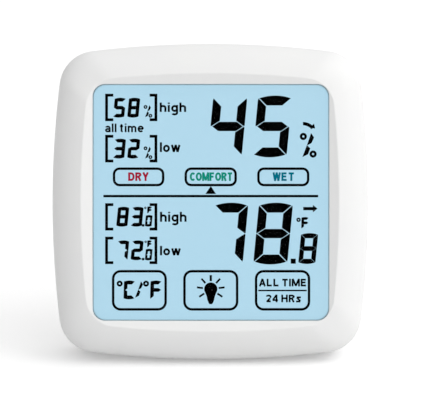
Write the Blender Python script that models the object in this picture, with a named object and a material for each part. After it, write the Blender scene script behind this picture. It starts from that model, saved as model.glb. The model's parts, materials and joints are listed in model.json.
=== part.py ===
# Digital thermo-hygrometer with a touch display, standing on its easel leg.
# Device frame: x to the viewer's right, y from the front to the back, z up the face.
# The middle of the face is x = z = 0, and the front of the bezel's ridge is y = 0.
import math

import bmesh
import bpy
from mathutils import Vector

MM = 0.001
GAP = 0.3 * MM

# Case: a rounded square with shallow bowed sides, domed in front and flat behind
CASE_HALF = 54.0 * MM
CASE_SIDE_RADIUS = 335.0 * MM
CASE_CORNER_RADIUS = 12.7 * MM
CASE_DEPTH = 28.0 * MM
GIRTH_DEPTH = 10.0 * MM
BEZEL_START = math.radians(32.0)
SEAM_DEPTH = 13.0 * MM
WALL = 2.0 * MM
REAR_DRAFT = 0.5 * MM
REAR_EDGE_RADIUS = 4.0 * MM
TONGUE_THICKNESS = 0.8 * MM
TONGUE_LENGTH = 1.3 * MM

# Window: the bezel's ridge falls to a straight-sided window whose wall is drafted
RIDGE_HALF = 44.3 * MM
RIDGE_SIDE_RADIUS = 320.0 * MM
RIDGE_CORNER_RADIUS = 10.0 * MM
WINDOW_HALF = 40.5 * MM
WINDOW_CORNER_RADIUS = 4.2 * MM
WINDOW_DEPTH = 1.6 * MM
LIP_THICKNESS = 1.3 * MM
STRAIGHT_SIDE_RADIUS = 20.0

# How the instrument stands
LEAN = math.radians(15.0)
BASE_CLEARANCE = 0.3 * MM

# Display stack, named from the front, each layer a gap behind the one before
LENS_HALF = 42.0 * MM
LENS_CORNER_RADIUS = 2.0 * MM
LENS_THICKNESS = 1.4 * MM
FILM_THICKNESS = 0.3 * MM
GLASS_HALF = 41.0 * MM
GLASS_THICKNESS = 1.0 * MM
CONTACT_LEDGE = 2.8 * MM
GUIDE_HALF = 38.3 * MM
GUIDE_THICKNESS = 2.0 * MM
REFLECTOR_THICKNESS = 0.25 * MM
FRAME_WALL = 0.7 * MM
FRAME_BACK = 0.8 * MM
FRAME_SLOT_MARGIN = 0.2 * MM
POCKET_RIB = 1.1 * MM
POCKET_RIB_DEPTH = 8.0 * MM
ZEBRA_HALF_LENGTH = 34.0 * MM
ZEBRA_THICKNESS = 2.0 * MM
LED_SIZE = Vector((1.2, 1.6, 5.0)) * MM
LED_LEAD = 0.5 * MM
LED_LEAD_PITCH = 2.6 * MM

# Circuit board and what is soldered on it
BOARD_HALF_WIDTH = 41.0 * MM
BOARD_HALF_HEIGHT = 47.6 * MM
BOARD_THICKNESS = 1.2 * MM
BOARD_CORNER_RADIUS = 3.0 * MM
CHIP_AT = (-12.0 * MM, -22.0 * MM)
CHIP_RADIUS = 8.0 * MM
CHIP_HEIGHT = 1.6 * MM
CHIP_PROFILE = ((0.0, 1.0), (0.5, 0.85), (1.0, 0.4))
CRYSTAL_AT = (12.0 * MM, -24.0 * MM)
CRYSTAL_RADIUS = 1.5 * MM
CRYSTAL_LENGTH = 8.0 * MM
SENSOR_AT = (8.0 * MM, 42.5 * MM)
SENSOR_HALF = 2.2 * MM
SENSOR_HEIGHT = 1.6 * MM
SENSOR_PORT_RADIUS = 1.1 * MM
SWITCH_HALF = 3.0 * MM
SWITCH_HEIGHT = 2.0 * MM
PLUNGER_RADIUS = 1.0 * MM
PLUNGER_HEIGHT = 1.0 * MM

# Screws and the bosses they go into
CASE_SCREW_AT = (45.0 * MM, 26.0 * MM)
CASE_BOSS_RADIUS = 2.4 * MM
CASE_POST_RADIUS = 3.3 * MM
CASE_HEAD_RADIUS = 2.2 * MM
CASE_HEAD_HEIGHT = 1.8 * MM
CASE_SHANK_RADIUS = 1.2 * MM
CASE_SHANK_LENGTH = 9.8 * MM
WELL_RADIUS = 2.5 * MM
WELL_FLOOR = 17.0 * MM
BOARD_SCREW_AT = (30.0 * MM, 45.6 * MM)
BOARD_BOSS_RADIUS = 2.5 * MM
BOARD_HEAD_RADIUS = 1.8 * MM
BOARD_HEAD_HEIGHT = 1.3 * MM
BOARD_SHANK_RADIUS = 0.95 * MM
BOARD_SHANK_LENGTH = 5.5 * MM
BOSS_ROOT = 3.5 * MM
HEAD_RIM_SHARE = 0.6
HEAD_TOP_SHARE = 0.6

# Two AAA cells side by side, head to tail, in a box behind the board
CELL_RADIUS = 5.25 * MM
CELL_LENGTH = 44.5 * MM
CELL_EDGE = 0.6 * MM
CELL_NUB_RADIUS = 1.9 * MM
CELL_NUB_LENGTH = 0.9 * MM
CELL_PITCH = 11.2 * MM
BAY_MIDDLE = 17.0 * MM
BAY_HALF_WIDTH = 26.3 * MM
BAY_HALF_HEIGHT = 11.9 * MM
BAY_FLOOR = 15.2 * MM
BAY_FLOOR_THICKNESS = 1.2 * MM
BAY_WALL_SIDE = 2.3 * MM
BAY_WALL_LOW = 2.9 * MM
PLATE_THICKNESS = 0.4 * MM
PLATE_HALF = 4.6 * MM
TAIL_HALF = 1.0 * MM
TAIL_SLOT_DEPTH = 1.5 * MM
TAIL_SLOT_MARGIN = 0.1 * MM
SPRING_WIRE_RADIUS = 0.3 * MM
SPRING_LENGTH = 5.2 * MM
SPRING_BASE_RADIUS = 4.0 * MM
SPRING_TIP_RADIUS = 2.6 * MM
SPRING_CURLS = 4
SPRING_POINTS_PER_CURL = 9
SPRING_LEAST_GAP = 0.4 * MM

# Battery door, swinging out on its two lower tabs
DOOR_HALF_WIDTH = 26.9 * MM
DOOR_HALF_HEIGHT = 12.2 * MM
DOOR_THICKNESS = 1.6 * MM
DOOR_CORNER_RADIUS = 1.5 * MM
DOOR_TAB_AT = 16.0 * MM
DOOR_TAB_HALF = 3.0 * MM
DOOR_TAB_REACH = 1.3 * MM
DOOR_TAB_ROOT = 3.2 * MM
DOOR_TAB_THICKNESS = 1.0 * MM
LATCH_HALF = 5.0 * MM
LATCH_REACH = 3.0 * MM
SCOOP_HALF = 6.5 * MM
SCOOP_RADIUS = 7.0 * MM
SCOOP_SINK = 1.6 * MM
GRIP_COUNT = 4
GRIP_PITCH = 1.8 * MM
GRIP_HALF_LENGTH = 8.0 * MM
GRIP_HALF_WIDTH = 0.45 * MM
GRIP_SINK = 0.5 * MM
GRIP_MARGIN = 2.6 * MM

# Easel leg, folding into a pocket in the back
LEG_PIVOT_HEIGHT = -5.0 * MM
LEG_THICKNESS = 2.2 * MM
LEG_REACH = 43.7 * MM
LEG_HEEL = 2.0 * MM
LEG_TOP_HALF = 17.1 * MM
LEG_TIP_HALF = 14.5 * MM
LEG_TIP_CORNER = 2.5 * MM
LEG_ROUND_STEPS = 6
PIN_RADIUS = 1.0 * MM
PIN_LENGTH = 2.1 * MM
POCKET_CLEARANCE = 0.4 * MM
POCKET_WALL = 3.0 * MM
POCKET_FLOOR_THICKNESS = 1.8 * MM
HEEL_GROOVE = 0.8 * MM
GROOVE_CLEARANCE = 0.2 * MM
LEG_PANEL_MARGIN = 4.0 * MM
LEG_PANEL_SINK = 0.6 * MM
LEG_PANEL_TOP = -7.0 * MM
LEG_PANEL_LOW = -37.0 * MM

# Magnets, vents and the clear button in the back
MAGNET_AT = (34.0 * MM, -20.0 * MM)
MAGNET_RADIUS = 6.0 * MM
MAGNET_THICKNESS = 2.0 * MM
MAGNET_WALL = 1.5 * MM
MAGNET_SINK = 0.1 * MM
VENT_COUNT = 9
VENT_PITCH = 3.4 * MM
VENT_HALF_WIDTH = 0.7 * MM
VENT_END_RADIUS = 0.63 * MM
VENT_LOW = 40.2 * MM
VENT_HIGH = 46.2 * MM
BUTTON_AT = (38.0 * MM, 17.0 * MM)
BUTTON_RADIUS = 3.0 * MM
BUTTON_SINK = 0.2 * MM
BUTTON_FLANGE_RADIUS = 3.8 * MM
BUTTON_FLANGE_THICKNESS = 0.8 * MM
BUTTON_STEM_RADIUS = 1.5 * MM
BUTTON_TRAVEL = 0.5 * MM
BUTTON_FREE_PLAY = 0.15 * MM
BUTTON_GUIDE_WALL = 1.3 * MM
BUTTON_GUIDE_DEPTH = 20.0 * MM

# Mesh resolution
SIDE_STEPS = 4
CORNER_STEPS = 6
BEZEL_STEPS = 6
INSIDE_STEPS = 3
EDGE_STEPS = 4
TURN_SIDES = 20
PIN_SIDES = 16
MAGNET_SIDES = 24
SMOOTH_ANGLE = math.radians(35.0)
ALONG_X = 0
ALONG_Y = 1
MIRRORS = ((-1, 1), (1, 1), (-1, -1), (1, -1))

# Depths that follow from the sizes above
LENS_FRONT = WINDOW_DEPTH + LIP_THICKNESS + GAP
FILM_FRONT = LENS_FRONT + LENS_THICKNESS + GAP
FRONT_GLASS = FILM_FRONT + FILM_THICKNESS + GAP
REAR_GLASS = FRONT_GLASS + GLASS_THICKNESS + GAP
GUIDE_FRONT = REAR_GLASS + GLASS_THICKNESS + GAP
REFLECTOR_FRONT = GUIDE_FRONT + GUIDE_THICKNESS + GAP
FRAME_FLOOR = REFLECTOR_FRONT + REFLECTOR_THICKNESS + GAP
FRAME_REAR = FRAME_FLOOR + FRAME_BACK
BOARD_FRONT = FRAME_REAR + GAP
BOARD_REAR = BOARD_FRONT + BOARD_THICKNESS
SOLDER_PLANE = BOARD_REAR + GAP
CELL_AXIS = BAY_FLOOR + GAP + CELL_RADIUS
DOOR_INNER = CASE_DEPTH - DOOR_THICKNESS
LEG_AXIS = CASE_DEPTH - BUTTON_SINK - LEG_THICKNESS / 2
LEG_POCKET_FLOOR = LEG_AXIS - LEG_THICKNESS / 2 - GAP
MAGNET_FLOOR = CASE_DEPTH - MAGNET_THICKNESS - GAP


def base_height(depth):
    """Height of the flat base under the rear case, which slopes up by the lean angle."""
    return -CASE_HALF - BASE_CLEARANCE + (depth - SEAM_DEPTH) * math.tan(LEAN)


def leg_opening():
    """Angle from folded to open at which the leg's round tip meets the plane of the base."""
    tip_radius = LEG_THICKNESS / 2
    above_base = (LEG_PIVOT_HEIGHT - base_height(LEG_AXIS)) * math.cos(LEAN)
    return LEAN + math.acos((above_base - tip_radius) / LEG_REACH)


def remove_scene_objects():
    for item in list(bpy.data.objects):
        bpy.data.objects.remove(item, do_unlink=True)


def make_material(name, colour, roughness, metallic=0.0):
    material = bpy.data.materials.new(name)
    material.use_nodes = True
    shader = material.node_tree.nodes["Principled BSDF"]
    shader.inputs["Base Color"].default_value = (*colour, 1.0)
    shader.inputs["Roughness"].default_value = roughness
    shader.inputs["Metallic"].default_value = metallic
    return material


def outline(half, side_radius, corner_radius):
    """Rounded square of four shallow side arcs and four corner arcs, as (x, z) points."""
    reach = side_radius - half
    centre = (math.sqrt(2 * (side_radius - corner_radius) ** 2 - reach ** 2) - reach) / 2
    turn = math.atan2(centre, centre + reach)
    quarter = []
    for step in range(-SIDE_STEPS, SIDE_STEPS):
        angle = turn * step / SIDE_STEPS
        quarter.append((side_radius * math.cos(angle) - reach, side_radius * math.sin(angle)))
    for step in range(CORNER_STEPS):
        angle = turn + (math.pi / 2 - 2 * turn) * step / CORNER_STEPS
        quarter.append((centre + corner_radius * math.cos(angle), centre + corner_radius * math.sin(angle)))
    points = []
    for _ in range(4):
        points.extend(quarter)
        quarter = [(-z, x) for x, z in quarter]
    return points


def case_outline(inset):
    return outline(CASE_HALF - inset, CASE_SIDE_RADIUS - inset, CASE_CORNER_RADIUS - inset)


def square_outline(half, corner_radius):
    return outline(half, STRAIGHT_SIDE_RADIUS, corner_radius)


def rounded_rectangle(low, high, radius):
    """Rectangle between two (x, z) corners, with round corners."""
    corners = ((high[0], high[1], -1, -1), (low[0], high[1], 1, -1),
               (low[0], low[1], 1, 1), (high[0], low[1], -1, 1))
    points = []
    for quarter, (x, z, inward_x, inward_z) in enumerate(corners):
        for step in range(CORNER_STEPS + 1):
            angle = (quarter + step / CORNER_STEPS) * math.pi / 2
            across = radius * (inward_x + math.cos(angle))
            points.append((x + across, z + radius * (inward_z + math.sin(angle))))
    return points


def level_ring(points, depth):
    return [Vector((x, depth, z)) for x, z in points]


def distance_outside_window(x, z):
    core = WINDOW_HALF - WINDOW_CORNER_RADIUS
    over = Vector((max(abs(x) - core, 0.0), max(abs(z) - core, 0.0)))
    return over.length - WINDOW_CORNER_RADIUS


def add_loft(mesh, rings, wrap=False):
    """Skin a row of rings; the ends are capped, or joined to each other when wrapped."""
    loops = [[mesh.verts.new(point) for point in ring] for ring in rings]
    pairs = list(zip(loops, loops[1:]))
    if wrap:
        pairs.append((loops[-1], loops[0]))
    else:
        mesh.faces.new(loops[0])
        mesh.faces.new(loops[-1])
    for first, second in pairs:
        for index in range(len(first)):
            after = (index + 1) % len(first)
            mesh.faces.new((first[index], first[after], second[after], second[index]))
    return mesh


def add_plate(mesh, points, front, rear):
    return add_loft(mesh, [level_ring(points, front), level_ring(points, rear)])


def add_box(mesh, low, high):
    corners = [(low[0], low[2]), (high[0], low[2]), (high[0], high[2]), (low[0], high[2])]
    return add_plate(mesh, corners, low[1], high[1])


def add_turned(mesh, axis, centre, profile, sides=TURN_SIDES):
    """Turned solid; the profile holds (place along the axis, radius) pairs."""
    first, second = [index for index in range(3) if index != axis]
    rings = []
    for along, radius in profile:
        ring = []
        for step in range(sides):
            angle = 2 * math.pi * step / sides
            point = Vector(centre)
            point[axis] = along
            point[first] += radius * math.cos(angle)
            point[second] += radius * math.sin(angle)
            ring.append(point)
        rings.append(ring)
    return add_loft(mesh, rings)


def add_pin(mesh, place, radius, front, rear, sides=TURN_SIDES):
    """Round pin along the depth at an (x, z) place."""
    return add_turned(mesh, ALONG_Y, (place[0], 0.0, place[1]), [(front, radius), (rear, radius)], sides)


def add_piece(name, mesh, material, parent, origin=(0.0, 0.0, 0.0)):
    """Object with its origin at a place of the device frame, where its mesh was drawn."""
    bmesh.ops.translate(mesh, verts=mesh.verts, vec=-Vector(origin))
    bmesh.ops.recalc_face_normals(mesh, faces=mesh.faces)
    data = bpy.data.meshes.new(name)
    mesh.to_mesh(data)
    mesh.free()
    if material:
        data.materials.append(material)
    data.shade_smooth()
    data.set_sharp_from_angle(angle=SMOOTH_ANGLE)
    piece = bpy.data.objects.new(name, data)
    bpy.context.scene.collection.objects.link(piece)
    piece.parent = parent
    piece.location = origin
    return piece


def shape_with(piece, operation, name, mesh, origin=(0.0, 0.0, 0.0)):
    """Unite a hidden shape with a piece, or cut it out of the piece."""
    tool = add_piece(name, mesh, None, piece, origin)
    tool.location = (0.0, 0.0, 0.0)
    tool.hide_render = True
    tool.display_type = 'WIRE'
    change = piece.modifiers.new(name, 'BOOLEAN')
    change.operation = operation
    change.object = tool


def mirrored(place, signs):
    return place[0] * signs[0], place[1] * signs[1]


def bezel_rings():
    """Rings from the girth forward over the domed bezel to its ridge, an elliptic arc in section."""
    girth = case_outline(0.0)
    ridge = outline(RIDGE_HALF, RIDGE_SIDE_RADIUS, RIDGE_CORNER_RADIUS)
    wall_slope = WINDOW_DEPTH / (RIDGE_HALF - WINDOW_HALF)
    rings = []
    for step in range(BEZEL_STEPS + 1):
        angle = math.pi / 2 + (BEZEL_START - math.pi / 2) * step / BEZEL_STEPS
        out = (math.sin(angle) - math.sin(BEZEL_START)) / (1 - math.sin(BEZEL_START))
        back = (math.cos(BEZEL_START) - math.cos(angle)) / math.cos(BEZEL_START)
        ring = []
        for (outer_x, outer_z), (x, z) in zip(girth, ridge):
            ridge_depth = WINDOW_DEPTH - wall_slope * distance_outside_window(x, z)
            depth = ridge_depth + (GIRTH_DEPTH - ridge_depth) * back
            ring.append(Vector((x + (outer_x - x) * out, depth, z + (outer_z - z) * out)))
        rings.append(ring)
    return rings


def front_case_rings():
    """The front shell's section, ring by ring: bezel, window wall, lens pocket, inside and tongue."""
    window = square_outline(WINDOW_HALF, WINDOW_CORNER_RADIUS)
    pocket = square_outline(LENS_HALF + GAP, LENS_CORNER_RADIUS)
    rib = square_outline(LENS_HALF + GAP + POCKET_RIB, LENS_CORNER_RADIUS + POCKET_RIB)
    lip_rear = WINDOW_DEPTH + LIP_THICKNESS
    inside_front = lip_rear + TONGUE_THICKNESS
    inside_girth = GIRTH_DEPTH + WALL
    rings = [level_ring(case_outline(0.0), SEAM_DEPTH)]
    rings.extend(bezel_rings())
    rings.append(level_ring(window, WINDOW_DEPTH))
    rings.append(level_ring(window, lip_rear))
    rings.append(level_ring(pocket, lip_rear))
    rings.append(level_ring(pocket, POCKET_RIB_DEPTH))
    rings.append(level_ring(rib, POCKET_RIB_DEPTH))
    rings.append(level_ring(rib, inside_front))
    inner = case_outline(WALL)
    for step in range(1, INSIDE_STEPS + 1):
        angle = math.pi / 2 * step / INSIDE_STEPS
        depth = inside_front + (inside_girth - inside_front) * (1 - math.cos(angle))
        blend = math.sin(angle)
        points = [(x + (far_x - x) * blend, z + (far_z - z) * blend)
                  for (x, z), (far_x, far_z) in zip(rib, inner)]
        rings.append(level_ring(points, depth))
    tongue = case_outline(WALL - TONGUE_THICKNESS)
    rings.append(level_ring(inner, SEAM_DEPTH + TONGUE_LENGTH))
    rings.append(level_ring(tongue, SEAM_DEPTH + TONGUE_LENGTH))
    rings.append(level_ring(tongue, SEAM_DEPTH))
    return rings


def make_front_case(parent, material):
    front = add_piece("front_case", add_loft(bmesh.new(), front_case_rings(), wrap=True), material, parent)
    bosses = bmesh.new()
    pilots = bmesh.new()
    for signs in MIRRORS:
        case_place = mirrored(CASE_SCREW_AT, signs)
        board_place = mirrored(BOARD_SCREW_AT, signs)
        add_pin(bosses, case_place, CASE_BOSS_RADIUS, BOSS_ROOT, SEAM_DEPTH)
        add_pin(bosses, board_place, BOARD_BOSS_RADIUS, BOSS_ROOT, FRAME_REAR)
        case_tip = WELL_FLOOR - CASE_SHANK_LENGTH
        board_tip = SOLDER_PLANE - BOARD_SHANK_LENGTH
        add_pin(pilots, case_place, CASE_SHANK_RADIUS + GAP, case_tip - GAP, SEAM_DEPTH + WALL)
        add_pin(pilots, board_place, BOARD_SHANK_RADIUS + GAP, board_tip - GAP, FRAME_REAR + WALL)
    shape_with(front, 'UNION', "front_bosses", bosses)
    shape_with(front, 'DIFFERENCE', "front_pilot_holes", pilots)


def rear_ring(inset, depth, lift):
    """Ring of the rear shell, flattened where it would reach below the base."""
    floor = base_height(depth) + lift
    return [Vector((x, depth, max(z, floor))) for x, z in case_outline(inset)]


def rear_shell_rings(first_depth, wall):
    """Rings from the seam to the flat back: a drafted side, then a rounded rear edge."""
    lift = wall / math.cos(LEAN)
    edge_start = CASE_DEPTH - REAR_EDGE_RADIUS
    side_depths = [first_depth, (first_depth + edge_start) / 2]
    rings = []
    for depth in side_depths:
        draft = REAR_DRAFT * (depth - SEAM_DEPTH) / (edge_start - SEAM_DEPTH)
        rings.append(rear_ring(wall + draft, depth, lift))
    radius = REAR_EDGE_RADIUS - wall
    for step in range(EDGE_STEPS + 1):
        angle = math.pi / 2 * step / EDGE_STEPS
        depth = edge_start + radius * math.sin(angle)
        inset = wall + REAR_DRAFT + radius * (1 - math.cos(angle))
        rings.append(rear_ring(inset, depth, lift))
    return rings


def rear_case_blank():
    """Cup-shaped rear shell with a rebate round its mouth for the front shell's tongue."""
    mouth = SEAM_DEPTH + GAP
    rebate_floor = SEAM_DEPTH + TONGUE_LENGTH + GAP
    rebate_inset = WALL - TONGUE_THICKNESS - GAP
    lift = rebate_inset / math.cos(LEAN)
    outside = rear_shell_rings(mouth, 0.0)
    inside = rear_shell_rings(rebate_floor, WALL)
    rebate = [rear_ring(rebate_inset, rebate_floor, lift), rear_ring(rebate_inset, mouth, lift)]
    return add_loft(bmesh.new(), inside[::-1] + rebate + outside)


def rear_bodies():
    """What stands inside the rear shell: battery box, leg pocket, screw posts, magnet seats, button guide."""
    bodies = bmesh.new()
    box_side = BAY_HALF_WIDTH + BAY_WALL_SIDE
    box_front = BAY_FLOOR - BAY_FLOOR_THICKNESS
    root = CASE_DEPTH - WALL / 2
    add_box(bodies, (-box_side, box_front, BAY_MIDDLE - BAY_HALF_HEIGHT - BAY_WALL_LOW),
            (box_side, root, BAY_MIDDLE + BAY_HALF_HEIGHT + BAY_WALL_SIDE))
    pocket_side = LEG_TOP_HALF + POCKET_CLEARANCE + POCKET_WALL
    pocket_front = LEG_POCKET_FLOOR - POCKET_FLOOR_THICKNESS
    add_box(bodies, (-pocket_side, pocket_front, base_height(pocket_front) + WALL / 2),
            (pocket_side, root, LEG_PIVOT_HEIGHT + LEG_HEEL + POCKET_WALL))
    for signs in MIRRORS:
        add_pin(bodies, mirrored(CASE_SCREW_AT, signs), CASE_POST_RADIUS, SEAM_DEPTH + GAP, root)
    for side in (-1, 1):
        add_pin(bodies, (side * MAGNET_AT[0], MAGNET_AT[1]), MAGNET_RADIUS + MAGNET_WALL,
                MAGNET_FLOOR - MAGNET_WALL, root)
    add_pin(bodies, BUTTON_AT, BUTTON_RADIUS + GAP + BUTTON_GUIDE_WALL, BUTTON_GUIDE_DEPTH, root)
    return bodies


def latch_seat():
    """Thick wall behind the finger scoop above the battery door."""
    low = BAY_MIDDLE + BAY_HALF_HEIGHT
    high = BAY_MIDDLE + DOOR_HALF_HEIGHT + LATCH_REACH + SCOOP_RADIUS
    return add_box(bmesh.new(), (-SCOOP_HALF - WALL, CASE_DEPTH - 2 * WALL, low),
                   (SCOOP_HALF + WALL, CASE_DEPTH - WALL / 2, high))


def leg_half_width(height):
    """Half width of the tapered leg at a height measured from its pivot."""
    share = -height / (LEG_REACH + LEG_THICKNESS / 2)
    return LEG_TOP_HALF + (LEG_TIP_HALF - LEG_TOP_HALF) * max(share, 0.0)


def rear_first_cuts(outside):
    """Battery space, screw wells, magnet seats, vents, button hole and leg pocket."""
    cuts = bmesh.new()
    add_box(cuts, (-BAY_HALF_WIDTH, BAY_FLOOR, BAY_MIDDLE - BAY_HALF_HEIGHT),
            (BAY_HALF_WIDTH, outside, BAY_MIDDLE + BAY_HALF_HEIGHT))
    for signs in MIRRORS:
        add_pin(cuts, mirrored(CASE_SCREW_AT, signs), WELL_RADIUS, WELL_FLOOR, outside)
    for side in (-1, 1):
        add_pin(cuts, (side * MAGNET_AT[0], MAGNET_AT[1]), MAGNET_RADIUS + GAP, MAGNET_FLOOR, outside)
    for index in range(VENT_COUNT):
        middle = (index - (VENT_COUNT - 1) / 2) * VENT_PITCH
        slot = rounded_rectangle((middle - VENT_HALF_WIDTH, VENT_LOW), (middle + VENT_HALF_WIDTH, VENT_HIGH),
                                 VENT_END_RADIUS)
        add_plate(cuts, slot, CASE_DEPTH - 2 * WALL, outside)
    add_pin(cuts, BUTTON_AT, BUTTON_RADIUS + GAP, BUTTON_GUIDE_DEPTH - WALL, outside)
    top = LEG_PIVOT_HEIGHT + LEG_HEEL + POCKET_CLEARANCE
    low = -CASE_HALF - WALL
    top_half = LEG_TOP_HALF + POCKET_CLEARANCE
    low_half = leg_half_width(low - LEG_PIVOT_HEIGHT) + POCKET_CLEARANCE
    pocket = [(-low_half, low), (low_half, low), (top_half, LEG_PIVOT_HEIGHT), (top_half, top),
              (-top_half, top), (-top_half, LEG_PIVOT_HEIGHT)]
    add_plate(cuts, pocket, LEG_POCKET_FLOOR, outside)
    return cuts


def rear_second_cuts(outside):
    """Door ledge, screw shank holes, leg pin sockets and the groove that stops the leg's heel."""
    cuts = bmesh.new()
    door = rounded_rectangle((-DOOR_HALF_WIDTH - GAP, BAY_MIDDLE - DOOR_HALF_HEIGHT - GAP),
                             (DOOR_HALF_WIDTH + GAP, BAY_MIDDLE + DOOR_HALF_HEIGHT + GAP),
                             DOOR_CORNER_RADIUS + GAP)
    add_plate(cuts, door, DOOR_INNER - GAP, outside)
    for signs in MIRRORS:
        add_pin(cuts, mirrored(CASE_SCREW_AT, signs), CASE_SHANK_RADIUS + GAP,
                SEAM_DEPTH, WELL_FLOOR + WALL / 2)
    socket_end = LEG_TOP_HALF + PIN_LENGTH + POCKET_CLEARANCE
    for side in (-1, 1):
        ends = [(side * (LEG_TOP_HALF - WALL), PIN_RADIUS + GAP), (side * socket_end, PIN_RADIUS + GAP)]
        add_turned(cuts, ALONG_X, (0.0, LEG_AXIS, LEG_PIVOT_HEIGHT), ends)
    return cuts


def rear_third_cuts(outside):
    """Slots for the door's tabs, its latch and the contact tails, and the groove for the leg's heel."""
    cuts = bmesh.new()
    door_low = BAY_MIDDLE - DOOR_HALF_HEIGHT
    door_high = BAY_MIDDLE + DOOR_HALF_HEIGHT
    for side in (-1, 1):
        middle = side * DOOR_TAB_AT
        half = DOOR_TAB_HALF + POCKET_CLEARANCE
        add_box(cuts, (middle - half, DOOR_INNER - 2 * WALL, door_low - DOOR_TAB_REACH - POCKET_CLEARANCE),
                (middle + half, DOOR_INNER + GAP, door_low + WALL))
    add_box(cuts, (-LATCH_HALF - POCKET_CLEARANCE, DOOR_INNER - GAP, door_high - WALL),
            (LATCH_HALF + POCKET_CLEARANCE, outside, door_high + LATCH_REACH + POCKET_CLEARANCE))
    for cell_side in (-1, 1):
        middle = BAY_MIDDLE + cell_side * CELL_PITCH / 2
        add_box(cuts, (BAY_HALF_WIDTH - TAIL_SLOT_DEPTH, BOARD_REAR, middle - TAIL_HALF - GAP),
                (BAY_HALF_WIDTH - TAIL_SLOT_MARGIN, BAY_FLOOR + WALL, middle + TAIL_HALF + GAP))
    groove_half = LEG_TOP_HALF + GROOVE_CLEARANCE
    groove_top = LEG_PIVOT_HEIGHT + LEG_HEEL + GAP
    add_box(cuts, (-groove_half, LEG_POCKET_FLOOR - HEEL_GROOVE, LEG_PIVOT_HEIGHT),
            (groove_half, LEG_POCKET_FLOOR + WALL, groove_top))
    return cuts


def finger_scoop():
    """Round hollow above the latch for a fingertip."""
    height = BAY_MIDDLE + DOOR_HALF_HEIGHT + LATCH_REACH
    centre = (0.0, CASE_DEPTH + SCOOP_RADIUS - SCOOP_SINK, height)
    ends = [(-SCOOP_HALF, SCOOP_RADIUS), (SCOOP_HALF, SCOOP_RADIUS)]
    return add_turned(bmesh.new(), ALONG_X, centre, ends)


def make_rear_case(parent, material):
    rear = add_piece("rear_case", rear_case_blank(), material, parent)
    outside = CASE_DEPTH + WALL
    shape_with(rear, 'UNION', "rear_bodies", rear_bodies())
    shape_with(rear, 'UNION', "latch_seat", latch_seat())
    shape_with(rear, 'DIFFERENCE', "rear_first_cuts", rear_first_cuts(outside))
    shape_with(rear, 'DIFFERENCE', "rear_second_cuts", rear_second_cuts(outside))
    shape_with(rear, 'DIFFERENCE', "rear_third_cuts", rear_third_cuts(outside))
    shape_with(rear, 'DIFFERENCE', "finger_scoop", finger_scoop())


def make_lens(parent, material):
    """Window plate: a flange behind the lip, and a raised middle that fills the opening."""
    middle = square_outline(WINDOW_HALF - GAP, WINDOW_CORNER_RADIUS - GAP)
    flange = square_outline(LENS_HALF, LENS_CORNER_RADIUS)
    rings = [level_ring(middle, WINDOW_DEPTH + GAP), level_ring(middle, LENS_FRONT),
             level_ring(flange, LENS_FRONT), level_ring(flange, LENS_FRONT + LENS_THICKNESS)]
    add_piece("display_lens", add_loft(bmesh.new(), rings), material, parent)


def make_display(parent, finishes):
    """Lens, touch film, the two glasses, the backlight and the tray that holds them."""
    make_lens(parent, finishes["lens"])
    film = square_outline(LENS_HALF - GAP, LENS_CORNER_RADIUS)
    ledge = GLASS_HALF - CONTACT_LEDGE
    glass = [(x * GLASS_HALF, z * GLASS_HALF) for x, z in ((-1, -1), (1, -1), (1, 1), (-1, 1))]
    short_glass = [(x, math.copysign(ledge, z)) for x, z in glass]
    guide = [(math.copysign(GUIDE_HALF, x), math.copysign(ledge, z)) for x, z in glass]
    layers = (("touch_film", film, FILM_FRONT, FILM_THICKNESS, "film"),
              ("lcd_front_glass", glass, FRONT_GLASS, GLASS_THICKNESS, "display"),
              ("lcd_rear_glass", short_glass, REAR_GLASS, GLASS_THICKNESS, "glass"),
              ("light_guide", guide, GUIDE_FRONT, GUIDE_THICKNESS, "guide"),
              ("reflector_sheet", guide, REFLECTOR_FRONT, REFLECTOR_THICKNESS, "white"))
    for name, points, front, thickness, finish in layers:
        add_piece(name, add_plate(bmesh.new(), points, front, front + thickness), finishes[finish], parent)
    make_display_frame(parent, finishes["white"], ledge)
    for side, word in ((-1, "left"), (1, "right")):
        make_backlight_led(parent, finishes["led"], side, word)
    for side, word in ((-1, "bottom"), (1, "top")):
        inner = ledge + 2 * GAP
        low, high = sorted((side * inner, side * (inner + ZEBRA_THICKNESS)))
        strip = add_box(bmesh.new(), (-ZEBRA_HALF_LENGTH, REAR_GLASS, low),
                        (ZEBRA_HALF_LENGTH, FRAME_REAR, high))
        add_piece("zebra_strip_" + word, strip, finishes["rubber"], parent)


def make_display_frame(parent, material, ledge):
    tray = square_outline(LENS_HALF, LENS_CORNER_RADIUS)
    frame = add_piece("lcd_frame", add_plate(bmesh.new(), tray, FRONT_GLASS, FRAME_REAR), material, parent)
    inner = GLASS_HALF + GAP
    pocket = rounded_rectangle((-inner, -inner), (inner, inner), FRAME_WALL)
    hollow = add_plate(bmesh.new(), pocket, FRONT_GLASS - WALL, FRAME_FLOOR)
    shape_with(frame, 'DIFFERENCE', "frame_pocket", hollow)
    slots = bmesh.new()
    for side in (-1, 1):
        low, high = sorted((side * (ledge + GAP), side * (inner - FRAME_SLOT_MARGIN)))
        add_box(slots, (-ZEBRA_HALF_LENGTH - GAP, FRONT_GLASS + GLASS_THICKNESS, low),
                (ZEBRA_HALF_LENGTH + GAP, FRAME_REAR + WALL, high))
        lead_low, lead_high = sorted((side * (GUIDE_HALF + GAP), side * (GLASS_HALF - GAP)))
        lead_half = LED_LEAD_PITCH / 2 + LED_LEAD
        add_box(slots, (lead_low, GUIDE_FRONT, -lead_half), (lead_high, FRAME_REAR + WALL, lead_half))
    shape_with(frame, 'DIFFERENCE', "frame_slots", slots)


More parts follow.
